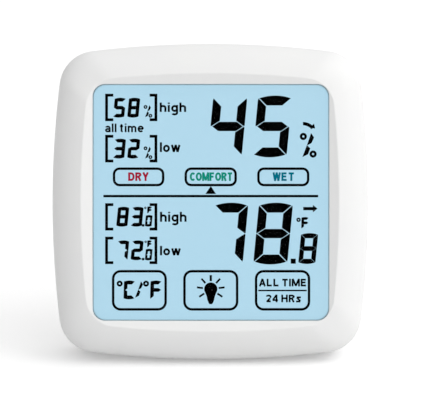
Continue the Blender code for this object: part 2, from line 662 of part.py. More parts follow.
def make_backlight_led(parent, material, side, word):
    middle = side * (GUIDE_HALF + GAP + LED_SIZE.x / 2)
    centre = Vector((middle, GUIDE_FRONT + GUIDE_THICKNESS / 2, 0.0))
    body = add_box(bmesh.new(), centre - LED_SIZE / 2, centre + LED_SIZE / 2)
    led = add_piece("backlight_led_" + word, body, material, parent)
    leads = bmesh.new()
    for end in (-1, 1):
        height = end * LED_LEAD_PITCH / 2
        add_box(leads, (middle - LED_LEAD / 2, centre.y, height - LED_LEAD / 2),
                (middle + LED_LEAD / 2, FRAME_REAR, height + LED_LEAD / 2))
    shape_with(led, 'UNION', "led_leads_" + word, leads)


def make_board(parent, finishes):
    shape = rounded_rectangle((-BOARD_HALF_WIDTH, -BOARD_HALF_HEIGHT), (BOARD_HALF_WIDTH, BOARD_HALF_HEIGHT),
                              BOARD_CORNER_RADIUS)
    board = add_piece("circuit_board", add_plate(bmesh.new(), shape, BOARD_FRONT, BOARD_REAR),
                      finishes["board"], parent)
    holes = bmesh.new()
    for signs in MIRRORS:
        add_pin(holes, mirrored(BOARD_SCREW_AT, signs), BOARD_SHANK_RADIUS + GAP,
                BOARD_FRONT - WALL, BOARD_REAR + WALL)
    shape_with(board, 'DIFFERENCE', "board_holes", holes)
    chip = [(SOLDER_PLANE + CHIP_HEIGHT * rise, CHIP_RADIUS * share) for rise, share in CHIP_PROFILE]
    add_piece("controller_chip", add_turned(bmesh.new(), ALONG_Y, (CHIP_AT[0], 0.0, CHIP_AT[1]), chip),
              finishes["black"], parent)
    crystal_axis = (0.0, SOLDER_PLANE + CRYSTAL_RADIUS, CRYSTAL_AT[1])
    ends = [(CRYSTAL_AT[0] + side * CRYSTAL_LENGTH / 2, CRYSTAL_RADIUS) for side in (-1, 1)]
    add_piece("crystal", add_turned(bmesh.new(), ALONG_X, crystal_axis, ends), finishes["steel"], parent)
    make_sensor(parent, finishes["black"])
    make_switch(parent, finishes["black"])


def make_switch(parent, material):
    """Board switch behind the clear button, with its plunger."""
    x, z = BUTTON_AT
    body_top = SOLDER_PLANE + SWITCH_HEIGHT
    body = add_box(bmesh.new(), (x - SWITCH_HALF, SOLDER_PLANE, z - SWITCH_HALF),
                   (x + SWITCH_HALF, body_top, z + SWITCH_HALF))
    switch = add_piece("clear_switch", body, material, parent)
    plunger = add_pin(bmesh.new(), BUTTON_AT, PLUNGER_RADIUS, SOLDER_PLANE + GAP, body_top + PLUNGER_HEIGHT)
    shape_with(switch, 'UNION', "switch_plunger", plunger)


def make_sensor(parent, material):
    """Humidity sensor with the port that lets the air in."""
    x, z = SENSOR_AT
    top = SOLDER_PLANE + SENSOR_HEIGHT
    body = add_box(bmesh.new(), (x - SENSOR_HALF, SOLDER_PLANE, z - SENSOR_HALF),
                   (x + SENSOR_HALF, top, z + SENSOR_HALF))
    sensor = add_piece("humidity_sensor", body, material, parent)
    port = add_pin(bmesh.new(), SENSOR_AT, SENSOR_PORT_RADIUS, SOLDER_PLANE + SENSOR_HEIGHT / 2, top + WALL)
    shape_with(sensor, 'DIFFERENCE', "sensor_port", port)


def add_screw(mesh, place, tip, seat, shank_radius, head_radius, head_height):
    """Pan-head screw along the depth, its head's underside at the seat."""
    profile = [(tip, shank_radius), (seat, shank_radius), (seat, head_radius),
               (seat + head_height * HEAD_RIM_SHARE, head_radius),
               (seat + head_height, head_radius * HEAD_TOP_SHARE)]
    return add_turned(mesh, ALONG_Y, (place[0], 0.0, place[1]), profile)


def make_screws(parent, material):
    for number, signs in enumerate(MIRRORS, start=1):
        tip = WELL_FLOOR - CASE_SHANK_LENGTH
        case_screw = add_screw(bmesh.new(), mirrored(CASE_SCREW_AT, signs), tip, WELL_FLOOR + GAP,
                               CASE_SHANK_RADIUS, CASE_HEAD_RADIUS, CASE_HEAD_HEIGHT)
        add_piece("case_screw_%d" % number, case_screw, material, parent)
        tip = SOLDER_PLANE - BOARD_SHANK_LENGTH
        board_screw = add_screw(bmesh.new(), mirrored(BOARD_SCREW_AT, signs), tip, SOLDER_PLANE,
                                BOARD_SHANK_RADIUS, BOARD_HEAD_RADIUS, BOARD_HEAD_HEIGHT)
        add_piece("board_screw_%d" % number, board_screw, material, parent)


def make_cells(parent, finishes):
    """Upper cell with its nub to the right, lower cell with its nub to the left, and their springs."""
    nub_end = BAY_HALF_WIDTH - PLATE_THICKNESS - 2 * GAP
    for number, side in ((1, 1), (2, -1)):
        height = BAY_MIDDLE + side * CELL_PITCH / 2
        shoulder = nub_end - CELL_NUB_LENGTH
        bottom = nub_end - CELL_LENGTH
        profile = [(bottom, CELL_RADIUS - CELL_EDGE), (bottom + CELL_EDGE, CELL_RADIUS),
                   (shoulder - CELL_EDGE, CELL_RADIUS), (shoulder, CELL_RADIUS - CELL_EDGE),
                   (shoulder, CELL_NUB_RADIUS), (nub_end, CELL_NUB_RADIUS)]
        placed = [(side * along, radius) for along, radius in profile]
        cell = add_turned(bmesh.new(), ALONG_X, (0.0, CELL_AXIS, height), placed)
        add_piece("battery_%d" % number, cell, finishes["cell"], parent)
        spring_tip = side * (bottom - GAP)
        make_spring("battery_spring_%d" % number, parent, finishes["steel"], spring_tip, side, height)


def make_spring(name, parent, material, tip, side, height):
    """Conical spring of one unbroken wire between a cell's flat end and its contact plate."""
    count = SPRING_CURLS * SPRING_POINTS_PER_CURL
    run = SPRING_LENGTH - 2 * SPRING_WIRE_RADIUS
    points = []
    for step in range(count + 1):
        share = step / count
        angle = 2 * math.pi * SPRING_CURLS * share
        radius = SPRING_TIP_RADIUS + (SPRING_BASE_RADIUS - SPRING_TIP_RADIUS) * share
        along = tip - side * (SPRING_WIRE_RADIUS + run * share)
        depth = CELL_AXIS + radius * math.cos(angle)
        points.append(Vector((along, depth, height + radius * math.sin(angle))))
    apart = [(first - second).length for index, first in enumerate(points)
             for second in points[index + SPRING_POINTS_PER_CURL // 2:]]
    least_gap = min(apart) - 2 * SPRING_WIRE_RADIUS
    print("%s: least gap between curls %.2f mm" % (name, least_gap / MM))
    assert least_gap > SPRING_LEAST_GAP
    curve = bpy.data.curves.new(name, 'CURVE')
    curve.dimensions = '3D'
    curve.bevel_depth = SPRING_WIRE_RADIUS
    curve.bevel_resolution = 1
    curve.use_fill_caps = True
    wire = curve.splines.new('POLY')
    wire.points.add(len(points) - 1)
    for spot, point in zip(wire.points, points):
        spot.co = (*point, 1.0)
    curve.materials.append(material)
    spring = bpy.data.objects.new(name, curve)
    bpy.context.scene.collection.objects.link(spring)
    spring.parent = parent


def make_contacts(parent, material):
    """Spring-steel plates at the ends of the cells; two have tails down to the board."""
    outer = BAY_HALF_WIDTH - GAP
    inner = outer - PLATE_THICKNESS
    low = CELL_AXIS - PLATE_HALF
    high = CELL_AXIS + PLATE_HALF
    reach = CELL_PITCH / 2 + PLATE_HALF
    bridge = add_box(bmesh.new(), (-outer, low, BAY_MIDDLE - reach), (-inner, high, BAY_MIDDLE + reach))
    add_piece("contact_bridge", bridge, material, parent)
    for word, side in (("positive", 1), ("negative", -1)):
        middle = BAY_MIDDLE + side * CELL_PITCH / 2
        sheet = add_box(bmesh.new(), (inner, low, middle - PLATE_HALF), (outer, high, middle + PLATE_HALF))
        plate = add_piece("contact_" + word, sheet, material, parent)
        tail = add_box(bmesh.new(), (inner, SOLDER_PLANE, middle - TAIL_HALF),
                       (outer, CELL_AXIS, middle + TAIL_HALF))
        shape_with(plate, 'UNION', "contact_tail_" + word, tail)


def make_battery_door(parent, material):
    """Flush door; its origin is on the line of its outer lower edge, about which it swings."""
    low = BAY_MIDDLE - DOOR_HALF_HEIGHT
    high = BAY_MIDDLE + DOOR_HALF_HEIGHT
    hinge = (0.0, CASE_DEPTH, low)
    shape = rounded_rectangle((-DOOR_HALF_WIDTH, low), (DOOR_HALF_WIDTH, high), DOOR_CORNER_RADIUS)
    panel = add_plate(bmesh.new(), shape, DOOR_INNER, CASE_DEPTH)
    door = add_piece("battery_door", panel, material, parent, hinge)
    tabs = bmesh.new()
    for side in (-1, 1):
        middle = side * DOOR_TAB_AT
        add_box(tabs, (middle - DOOR_TAB_HALF, DOOR_INNER - DOOR_TAB_THICKNESS, low - DOOR_TAB_REACH),
                (middle + DOOR_TAB_HALF, DOOR_INNER - GAP, low + DOOR_TAB_ROOT))
        add_box(tabs, (middle - DOOR_TAB_HALF, DOOR_INNER - DOOR_TAB_THICKNESS / 2, low + DOOR_TAB_ROOT / 2),
                (middle + DOOR_TAB_HALF, DOOR_INNER + DOOR_THICKNESS / 2, low + DOOR_TAB_ROOT - GAP))
    latch = add_box(bmesh.new(), (-LATCH_HALF, DOOR_INNER, high - WALL),
                    (LATCH_HALF, CASE_DEPTH - BUTTON_SINK, high + LATCH_REACH))
    shape_with(door, 'UNION', "door_tabs", tabs, hinge)
    door.modifiers["door_tabs"].use_self = True
    shape_with(door, 'UNION', "door_latch", latch, hinge)
    grips = bmesh.new()
    for index in range(GRIP_COUNT):
        height = high - GRIP_MARGIN - index * GRIP_PITCH
        add_box(grips, (-GRIP_HALF_LENGTH, CASE_DEPTH - GRIP_SINK, height - GRIP_HALF_WIDTH),
                (GRIP_HALF_LENGTH, CASE_DEPTH + WALL, height + GRIP_HALF_WIDTH))
    shape_with(door, 'DIFFERENCE', "door_grips", grips, hinge)


def leg_section(half_share, tip_raise):
    """Side outline of the leg: a bar with a rounded heel above its pivot and a round tip below."""
    radius = LEG_THICKNESS / 2
    points = []
    for centre_height, start in ((LEG_HEEL - radius, 0.0), (tip_raise - LEG_REACH, math.pi)):
        for step in range(LEG_ROUND_STEPS + 1):
            angle = start + math.pi * step / LEG_ROUND_STEPS
            height = centre_height + radius * math.sin(angle)
            across = half_share * leg_half_width(height)
            points.append(Vector((across, LEG_AXIS + radius * math.cos(angle), LEG_PIVOT_HEIGHT + height)))
    return points


def make_stand(parent, material):
    """Easel leg, drawn folded and then turned open about its pins."""
    pivot = (0.0, LEG_AXIS, LEG_PIVOT_HEIGHT)
    inset = 1 - LEG_TIP_CORNER / LEG_TIP_HALF
    rings = [leg_section(-1.0, LEG_TIP_CORNER), leg_section(-inset, 0.0),
             leg_section(inset, 0.0), leg_section(1.0, LEG_TIP_CORNER)]
    stand = add_piece("stand", add_loft(bmesh.new(), rings), material, parent, pivot)
    end = LEG_TOP_HALF + PIN_LENGTH
    pin = add_turned(bmesh.new(), ALONG_X, pivot, [(-end, PIN_RADIUS), (end, PIN_RADIUS)], PIN_SIDES)
    shape_with(stand, 'UNION', "leg_pin", pin, pivot)
    top_half = leg_half_width(LEG_PANEL_TOP) - LEG_PANEL_MARGIN
    low_half = leg_half_width(LEG_PANEL_LOW) - LEG_PANEL_MARGIN
    top = LEG_PIVOT_HEIGHT + LEG_PANEL_TOP
    low = LEG_PIVOT_HEIGHT + LEG_PANEL_LOW
    panel = [(-low_half, low), (low_half, low), (top_half, top), (-top_half, top)]
    outer_face = LEG_AXIS + LEG_THICKNESS / 2
    recess = add_plate(bmesh.new(), panel, outer_face - LEG_PANEL_SINK, outer_face + WALL)
    shape_with(stand, 'DIFFERENCE', "leg_panel", recess, pivot)
    stand.rotation_euler.x = leg_opening()


def make_clear_button(parent, material):
    flange_rear = BUTTON_GUIDE_DEPTH - 2 * GAP
    flange_front = flange_rear - BUTTON_FLANGE_THICKNESS
    stem_tip = SOLDER_PLANE + SWITCH_HEIGHT + PLUNGER_HEIGHT + BUTTON_TRAVEL + BUTTON_FREE_PLAY
    top = CASE_DEPTH - BUTTON_SINK
    profile = [(stem_tip, BUTTON_STEM_RADIUS), (flange_front, BUTTON_STEM_RADIUS),
               (flange_front, BUTTON_FLANGE_RADIUS), (flange_rear, BUTTON_FLANGE_RADIUS),
               (flange_rear, BUTTON_RADIUS), (top - GAP, BUTTON_RADIUS), (top, BUTTON_RADIUS - GAP)]
    place = (BUTTON_AT[0], top, BUTTON_AT[1])
    add_piece("clear_button", add_turned(bmesh.new(), ALONG_Y, place, profile), material, parent, place)


def make_magnets(parent, material):
    rear = CASE_DEPTH - MAGNET_SINK
    for side, word in ((-1, "left"), (1, "right")):
        place = (side * MAGNET_AT[0], MAGNET_AT[1])
        disc = add_pin(bmesh.new(), place, MAGNET_RADIUS, MAGNET_FLOOR + GAP, rear, MAGNET_SIDES)
        add_piece("magnet_" + word, disc, material, parent)


def make_finishes():
    return {
        "case": make_material("white_moulded_plastic", (0.86, 0.86, 0.86), 0.35),
        "lens": make_material("clear_window_plastic", (0.80, 0.88, 0.92), 0.05),
        "film": make_material("clear_touch_film", (0.75, 0.80, 0.82), 0.15),
        "display": make_material("display_glass", (0.45, 0.70, 0.84), 0.20),
        "glass": make_material("plain_glass", (0.70, 0.78, 0.80), 0.08),
        "guide": make_material("light_guide_acrylic", (0.80, 0.84, 0.86), 0.10),
        "white": make_material("white_inner_plastic", (0.80, 0.80, 0.78), 0.45),
        "led": make_material("lamp_resin", (0.85, 0.82, 0.60), 0.25),
        "rubber": make_material("contact_rubber", (0.35, 0.35, 0.36), 0.70),
        "board": make_material("circuit_board_resin", (0.05, 0.25, 0.10), 0.40),
        "black": make_material("black_resin", (0.02, 0.02, 0.02), 0.40),
        "steel": make_material("nickel_plated_steel", (0.60, 0.59, 0.57), 0.30, 1.0),
        "cell": make_material("cell_jacket", (0.30, 0.31, 0.33), 0.30),
        "magnet": make_material("nickel_plated_magnet", (0.55, 0.55, 0.56), 0.25, 1.0),
    }


def stand_on_origin(device):
    """Move the device so that the middle of its lowest face rests on the origin."""
    bpy.context.view_layer.update()
    graph = bpy.context.evaluated_depsgraph_get()
    low = Vector((math.inf, math.inf, math.inf))
    high = -low
    for item in bpy.data.objects:
        if item.type == 'EMPTY' or item.hide_render:
            continue
        solid = item.evaluated_get(graph)
        mesh = solid.to_mesh()
        for vertex in mesh.vertices:
            place = solid.matrix_world @ vertex.co
            low = Vector(map(min, low, place))
            high = Vector(map(max, high, place))
        solid.to_mesh_clear()
    device.location = (-(low.x + high.x) / 2, -(low.y + high.y) / 2, -low.z)
    bpy.context.view_layer.update()


def main():
    remove_scene_objects()
    finishes = make_finishes()
    device = bpy.data.objects.new("device", None)
    bpy.context.scene.collection.objects.link(device)
    device.rotation_euler.x = -LEAN
    make_front_case(device, finishes["case"])
    make_display(device, finishes)
    make_board(device, finishes)
    make_rear_case(device, finishes["case"])
    make_screws(device, finishes["steel"])
    make_cells(device, finishes)
    make_contacts(device, finishes["steel"])
    make_battery_door(device, finishes["case"])
    make_stand(device, finishes["case"])
    make_clear_button(device, finishes["case"])
    make_magnets(device, finishes["magnet"])
    stand_on_origin(device)


main()
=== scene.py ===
import json
import math

import bmesh
import bpy
from mathutils import Matrix, Vector


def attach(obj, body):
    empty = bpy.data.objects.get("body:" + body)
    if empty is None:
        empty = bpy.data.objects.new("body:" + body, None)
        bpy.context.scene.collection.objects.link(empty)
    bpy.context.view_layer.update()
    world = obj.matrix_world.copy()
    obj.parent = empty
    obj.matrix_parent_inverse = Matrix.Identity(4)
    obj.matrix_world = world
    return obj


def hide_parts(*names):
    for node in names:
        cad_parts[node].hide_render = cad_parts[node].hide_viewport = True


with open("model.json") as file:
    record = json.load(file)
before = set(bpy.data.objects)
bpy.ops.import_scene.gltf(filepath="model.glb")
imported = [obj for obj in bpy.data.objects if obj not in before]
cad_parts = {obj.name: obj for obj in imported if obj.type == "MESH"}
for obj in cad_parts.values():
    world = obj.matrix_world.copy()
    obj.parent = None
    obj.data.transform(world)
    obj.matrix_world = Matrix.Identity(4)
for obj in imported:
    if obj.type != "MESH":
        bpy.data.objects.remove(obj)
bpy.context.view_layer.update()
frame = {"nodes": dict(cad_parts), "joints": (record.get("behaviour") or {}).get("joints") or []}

# The looks of a white table thermo-hygrometer with a touch display.
# Pieces are drawn in the device frame: x to the viewer's right, y from front to back, z up the face.
# The middle of the face is x = z = 0, and the front of the bezel's ridge is y = 0.
MM = 0.001
GAP = 0.3 * MM
RIGHT_ANGLE = 90
FULL_TURN = 4 * RIGHT_ANGLE

# Case
CASE_HALF = 54.0 * MM
CASE_SIDE_RADIUS = 335.0 * MM
CASE_CORNER_RADIUS = 12.7 * MM
CASE_DEPTH = 28.0 * MM
GIRTH_DEPTH = 10.0 * MM
BEZEL_START = math.radians(32.0)
SEAM_DEPTH = 13.0 * MM
WALL = 2.0 * MM
SEAM_ROUND = 0.25 * MM

# Bezel ridge and window; their middles lie a little off the case's own
RIDGE_HALF = 43.8 * MM
RIDGE_MIDDLE = (-0.05 * MM, -0.26 * MM)
RIDGE_SIDE_RADIUS = 320.0 * MM
RIDGE_CORNER_RADIUS = 10.0 * MM
RIDGE_ROUND = 0.35 * MM
WINDOW_HALF = 40.22 * MM
WINDOW_MIDDLE = (0.26 * MM, -0.26 * MM)
WINDOW_CORNER_RADIUS = 4.2 * MM
WINDOW_EDGE_DEPTH = 1.15 * MM
WINDOW_DEPTH = 1.6 * MM
LIP_THICKNESS = 1.3 * MM
STRAIGHT_SIDE_RADIUS = 20.0

# Display stack
LENS_HALF = 42.0 * MM
LENS_CORNER_RADIUS = 2.0 * MM
LENS_FRONT = WINDOW_DEPTH + LIP_THICKNESS + GAP
LENS_THICKNESS = 1.4 * MM
GLASS_HALF = 41.0 * MM
GLASS_FRONT = 5.5 * MM
GLASS_THICKNESS = 1.0 * MM
# The lit field stops this far inside the window; the border glass seen there is painted shade, the shadow
# line along the window's edge
PAINTED_SHADE_BORDER = 0.35 * MM
FIELD_REAR = GLASS_FRONT - 0.05 * MM
FIELD_FRONT = GLASS_FRONT - 0.15 * MM
SIGN_REAR = FIELD_FRONT - 0.02 * MM
SIGN_FRONT = SIGN_REAR - 0.05 * MM

# Rear shell; RIM is the moulded round on the edges of its openings, and SINK is how far the leg, the
# latch and the button lie below the back
REAR_DRAFT = 0.5 * MM
REAR_EDGE_RADIUS = 4.0 * MM
TONGUE_THICKNESS = 0.8 * MM
TONGUE_LENGTH = 1.3 * MM
BASE_CLEARANCE = 0.3 * MM
RIM = 0.3 * MM
FINE_RIM = 0.15 * MM
SINK = 0.2 * MM
MIRRORS = ((-1, 1), (1, 1), (-1, -1), (1, -1))

# Case screws and their wells
SCREW_PLACES = [(across * 45.0 * MM, up * 26.0 * MM) for across, up in MIRRORS]
CASE_POST_RADIUS = 3.3 * MM
WELL_RADIUS = 2.5 * MM
WELL_FLOOR = 17.0 * MM
HEAD_RADIUS = 2.2 * MM
HEAD_HEIGHT = 1.8 * MM
SHANK_RADIUS = 1.2 * MM
SHANK_LENGTH = 9.8 * MM
HEAD_RIM_SHARE = 0.45
CROSS_HALF_LENGTH = 1.35 * MM
CROSS_HALF_WIDTH = 0.32 * MM
CROSS_SINK = 1.1 * MM

# Battery box, cells and door
BAY_MIDDLE = 17.0 * MM
BAY_HALF_WIDTH = 26.3 * MM
BAY_HALF_HEIGHT = 11.9 * MM
BAY_FLOOR = 15.2 * MM
BAY_FLOOR_THICKNESS = 1.2 * MM
BAY_WALL_SIDE = 2.3 * MM
BAY_WALL_LOW = 2.9 * MM
CELL_RADIUS = 5.25 * MM
CELL_LENGTH = 44.5 * MM
CELL_EDGE = 0.6 * MM
CELL_NUB_RADIUS = 1.9 * MM
CELL_NUB_LENGTH = 0.9 * MM
CELL_PITCH = 11.2 * MM
CELL_AXIS = BAY_FLOOR + GAP + CELL_RADIUS
CELL_JACKET = 0.12 * MM
BAND_START = 0.78
PLATE_THICKNESS = 0.4 * MM
CELL_NUB_END = BAY_HALF_WIDTH - PLATE_THICKNESS - 2 * GAP
CELL_BOTTOM = CELL_NUB_END - CELL_LENGTH
SPRING_WIRE_RADIUS = 0.3 * MM
SPRING_LENGTH = 5.2 * MM
SPRING_BASE_RADIUS = 4.0 * MM
SPRING_TIP_RADIUS = 2.6 * MM
SPRING_CURLS = 4
SPRING_CURL_STEPS = 28
DOOR_HALF_WIDTH = 26.9 * MM
DOOR_HALF_HEIGHT = 12.2 * MM
DOOR_THICKNESS = 1.6 * MM
DOOR_INNER = CASE_DEPTH - DOOR_THICKNESS
DOOR_LOW = BAY_MIDDLE - DOOR_HALF_HEIGHT
DOOR_HIGH = BAY_MIDDLE + DOOR_HALF_HEIGHT
DOOR_CORNER_RADIUS = 1.5 * MM
DOOR_TAB_AT = 16.0 * MM
DOOR_TAB_HALF = 3.0 * MM
DOOR_TAB_REACH = 1.3 * MM
DOOR_TAB_ROOT = 3.2 * MM
DOOR_TAB_THICKNESS = 1.0 * MM
LATCH_HALF = 5.0 * MM
LATCH_REACH = 3.0 * MM
LATCH_CORNER = 0.8 * MM
SCOOP_HALF = 6.5 * MM
SCOOP_RADIUS = 7.0 * MM
SCOOP_SINK = 1.6 * MM
SCOOP_FADE = 4
SLOT_ROUND = 0.9
TAIL_SLOT_HALF = 1.3 * MM
TAIL_SLOT_DEPTH = 1.5 * MM
TAIL_SLOT_MARGIN = 0.1 * MM
GRIP_COUNT = 4
GRIP_PITCH = 1.8 * MM
GRIP_HALF_LENGTH = 8.0 * MM
GRIP_HALF_WIDTH = 0.45 * MM
GRIP_SINK = 0.5 * MM
GRIP_MARGIN = 2.6 * MM

# Leg and its pocket
LEG_THICKNESS = 2.2 * MM
LEG_AXIS = CASE_DEPTH - SINK - LEG_THICKNESS / 2
LEG_PIVOT_HEIGHT = -5.0 * MM
LEG_REACH = 43.7 * MM
LEG_HEEL = 2.0 * MM
LEG_TOP_HALF = 17.1 * MM
LEG_TIP_HALF = 14.5 * MM
LEG_TIP_CORNER = 2.5 * MM
LEG_EDGE_ROUND = 0.45 * MM
LEG_PANEL_MARGIN = 4.0 * MM
LEG_PANEL_SINK = 0.6 * MM
LEG_PANEL_TOP = -7.0 * MM
LEG_PANEL_LOW = -37.0 * MM
LEG_PANEL_CORNER = 1.2 * MM
LEG_POCKET_FLOOR = LEG_AXIS - LEG_THICKNESS / 2 - GAP
PIN_RADIUS = 1.0 * MM
PIN_LENGTH = 2.1 * MM
POCKET_CLEARANCE = 0.4 * MM
POCKET_WALL = 3.0 * MM
POCKET_FLOOR_THICKNESS = 1.8 * MM
HEEL_GROOVE = 0.8 * MM
GROOVE_CLEARANCE = 0.2 * MM

# Magnets, vents and clear button
MAGNET_PLACES = [(side * 34.0 * MM, -20.0 * MM) for side in (-1, 1)]
MAGNET_RADIUS = 6.0 * MM
MAGNET_THICKNESS = 2.0 * MM
MAGNET_WALL = 1.5 * MM
MAGNET_SINK = 0.1 * MM
MAGNET_FLOOR = CASE_DEPTH - MAGNET_THICKNESS - GAP
VENT_COUNT = 9
VENT_PITCH = 3.4 * MM
VENT_HALF_WIDTH = 0.7 * MM
VENT_LOW = 40.2 * MM
VENT_HIGH = 46.2 * MM
BUTTON_AT = (38.0 * MM, 17.0 * MM)
BUTTON_RADIUS = 3.0 * MM
BUTTON_ROUND = 0.5 * MM
BUTTON_DISH = 0.25 * MM
BUTTON_FLANGE_RADIUS = 3.8 * MM
BUTTON_FLANGE_THICKNESS = 0.8 * MM
BUTTON_STEM_RADIUS = 1.5 * MM
BUTTON_STEM_TIP = 17.2 * MM
BUTTON_GUIDE_WALL = 1.3 * MM
BUTTON_GUIDE_DEPTH = 20.0 * MM

# Signs on the display, in millimetres and degrees; a digit's own proportions are in widths of the digit
BIG_DIGIT = 11.47
TENTH_DIGIT = 5.68
SMALL_DIGIT = 3.55
SMALL_TENTH = 2.0
KEY_DIGIT = 3.3
UNIT_DIGIT = 1.95
SMALL_UNIT = 1.08
DIGIT_RISE = 0.836
DIGIT_BOW = 0.075
DIGIT_CROWN = 0.458
DIGIT_SLANT = 0.096
UNIT_SLANT = 0.03
SEGMENTS_OF = {"0": "abcdef", "2": "abdeg", "3": "abcdg", "4": "bcfg", "5": "acdfg", "7": "abc",
               "8": "abcdefg", "C": "adef", "F": "aefg"}
TOP_SEGMENT_INSIDE = [(0.23, 0.631), (-0.23, 0.631)]
SIDE_SEGMENT = [(-0.488, 0.824), (-0.25, 0.591), (-0.25, 0.175), (-0.485, 0.014), (-0.5, 0.03), (-0.5, 0.766)]
MIDDLE_SEGMENT = [(-0.445, 0.0), (-0.262, 0.13), (0.262, 0.13),
                  (0.445, 0.0), (0.262, -0.13), (-0.262, -0.13)]
BIG_SWELL = 0.08
FINE_SWELL = 0.15
UNIT_SWELL = 0.21
SWELL_REACH = 1.6
BRACKET_STROKE = 0.98
FRAME_STROKE = 0.86
DIVIDER_STROKE = 0.84
KEY_LINE_STROKE = 0.52
PILL_RADIUS = 2.3
KEY_RADIUS = 2.95
RING_STROKE = 0.7
SLASH_BLADES = ([(1.01, 3.95), (1.83, 2.62), (1.01, 0.84), (-0.33, 0.05)],
                [(-0.39, -0.22), (0.56, -1.08), (-0.19, -3.0), (-1.83, -3.85)])
PERCENT_RING_AT = (1.66, 3.0)
PERCENT_RING_RADIUS = 1.15
BULB_RADIUS = 2.25
BULB_ARC = (-35, 215)
BULB_CAP = [(-1.35, -2.6), (-1.15, -3.7), (-0.85, -4.5), (-0.45, -5.15)]
RAY_ENDS = (2.7, 4.75)
RAY_STROKE = 0.66
TOP_RAY_STROKE = 0.8
RAYS = [(RIGHT_ANGLE, TOP_RAY_STROKE)] + [(angle, RAY_STROKE) for angle in (48, 132, 7, 173, -34, 214)]
STEADY_LENGTH = 3.45
STEADY_STROKE = 1.12
STEADY_HEAD = [(3.3, -1.25), (4.85, 0.0), (3.3, 1.25)]
FALLING_ARC = (90, 40)
FALLING_RADII = (4.9, 3.75)
FALLING_DROP = 4.35
FALLING_HEAD = [(3.75, 0.0), (4.2, -1.7), (2.4, -1.5)]

# Layout of the display, in millimetres from its middle
BRACKET_LEFT = (-35.8, -33.0)
BRACKET_RIGHT = (-18.0, -20.65)
BRACKET_ROWS = ((36.75, 27.4), (22.75, 13.35), (-0.55, -9.85), (-11.95, -21.3))
READINGS = (("58", SMALL_DIGIT, FINE_SWELL, 4.85, -30.9, 32.0),
            ("32", SMALL_DIGIT, FINE_SWELL, 4.85, -30.9, 18.05),
            ("83", SMALL_DIGIT, FINE_SWELL, 4.9, -29.8, -5.15),
            ("72", SMALL_DIGIT, FINE_SWELL, 4.9, -29.8, -16.6),
            ("0", SMALL_TENTH, FINE_SWELL, 0.0, -20.95, -6.55),
            ("0", SMALL_TENTH, FINE_SWELL, 0.0, -20.95, -18.05),
            ("F", SMALL_UNIT, UNIT_SWELL, 0.0, -20.7, -2.85),
            ("F", SMALL_UNIT, UNIT_SWELL, 0.0, -20.7, -14.4),
            ("45", BIG_DIGIT, BIG_SWELL, 15.3, 5.9, 25.6),
            ("78", BIG_DIGIT, BIG_SWELL, 15.2, 6.25, -10.9),
            ("8", TENTH_DIGIT, BIG_SWELL, 0.0, 33.4, -16.0),
            ("F", UNIT_DIGIT, UNIT_SWELL, 0.0, 32.25, -7.25),
            ("CF", KEY_DIGIT, UNIT_SWELL, 9.05, -27.6, -30.1))
PERCENT_SIGNS = ((33.4, 19.2, 1.0), (-21.2, 30.75, 0.5), (-21.2, 16.65, 0.5))
DEGREE_SIGNS = ((30.1, -6.2, 0.75), (-30.85, -27.95, 1.03), (-21.85, -27.95, 1.03),
                (-22.1, -2.15, 0.4), (-22.0, -13.7, 0.4))
POINTS = ((28.3, -20.3, 0.86), (-22.85, -8.1, 0.42), (-22.85, -19.6, 0.42))
PILLS = ((-33.2, -15.6), (-8.75, 9.1), (16.0, 33.8))
PILL_TOP = 11.65
PILL_BOTTOM = 5.2
POINTER = [(0.2, 5.3), (-1.65, 2.6), (2.0, 2.6)]
DIVIDER = ((-36.4, 1.87), (36.8, 1.87))
KEYS = ((-33.5, -14.75), (-9.2, 9.6), (15.2, 34.1))
KEY_TOP = -23.3
KEY_BOTTOM = -37.15
KEY_SLASH = (-24.25, -30.0, 0.68)
KEY_LINE = ((16.4, -30.3), (32.9, -30.3))
BULB_AT = (0.2, -29.8)
FALLING_AT = (31.6, 26.6)
STEADY_AT = (31.7, -2.4)
WORD_STROKE = 0.72
FINE_WORD_STROKE = 0.62
BOLD_STROKE = 0.68
WORDS = (("high", (-17.2, -8.2, 33.75, 30.55)), ("low", (-17.15, -10.1, 20.2, 16.9)),
         ("high", (-17.1, -8.05, -3.5, -6.87)), ("low", (-17.1, -10.0, -15.1, -18.3)))
FINE_WORDS = (("all time", (-35.85, -22.6, 26.6, 23.65)), ("ALL TIME", (16.6, 32.9, -26.3, -28.9)),
              ("24 HRs", (18.9, 31.1, -31.7, -34.3)))
COLOUR_WORDS = (("dry_word", "DRY", (-27.95, -20.9, 9.95, 7.05), ("A61C38", "9C1834")),
                ("comfort_word", "COMFORT", (-6.95, 7.7, 9.95, 7.05), ("148E7A", "0E8672")),
                ("wet_word", "WET", (21.25, 28.75, 9.95, 7.05), ("036E84", "00687E")))

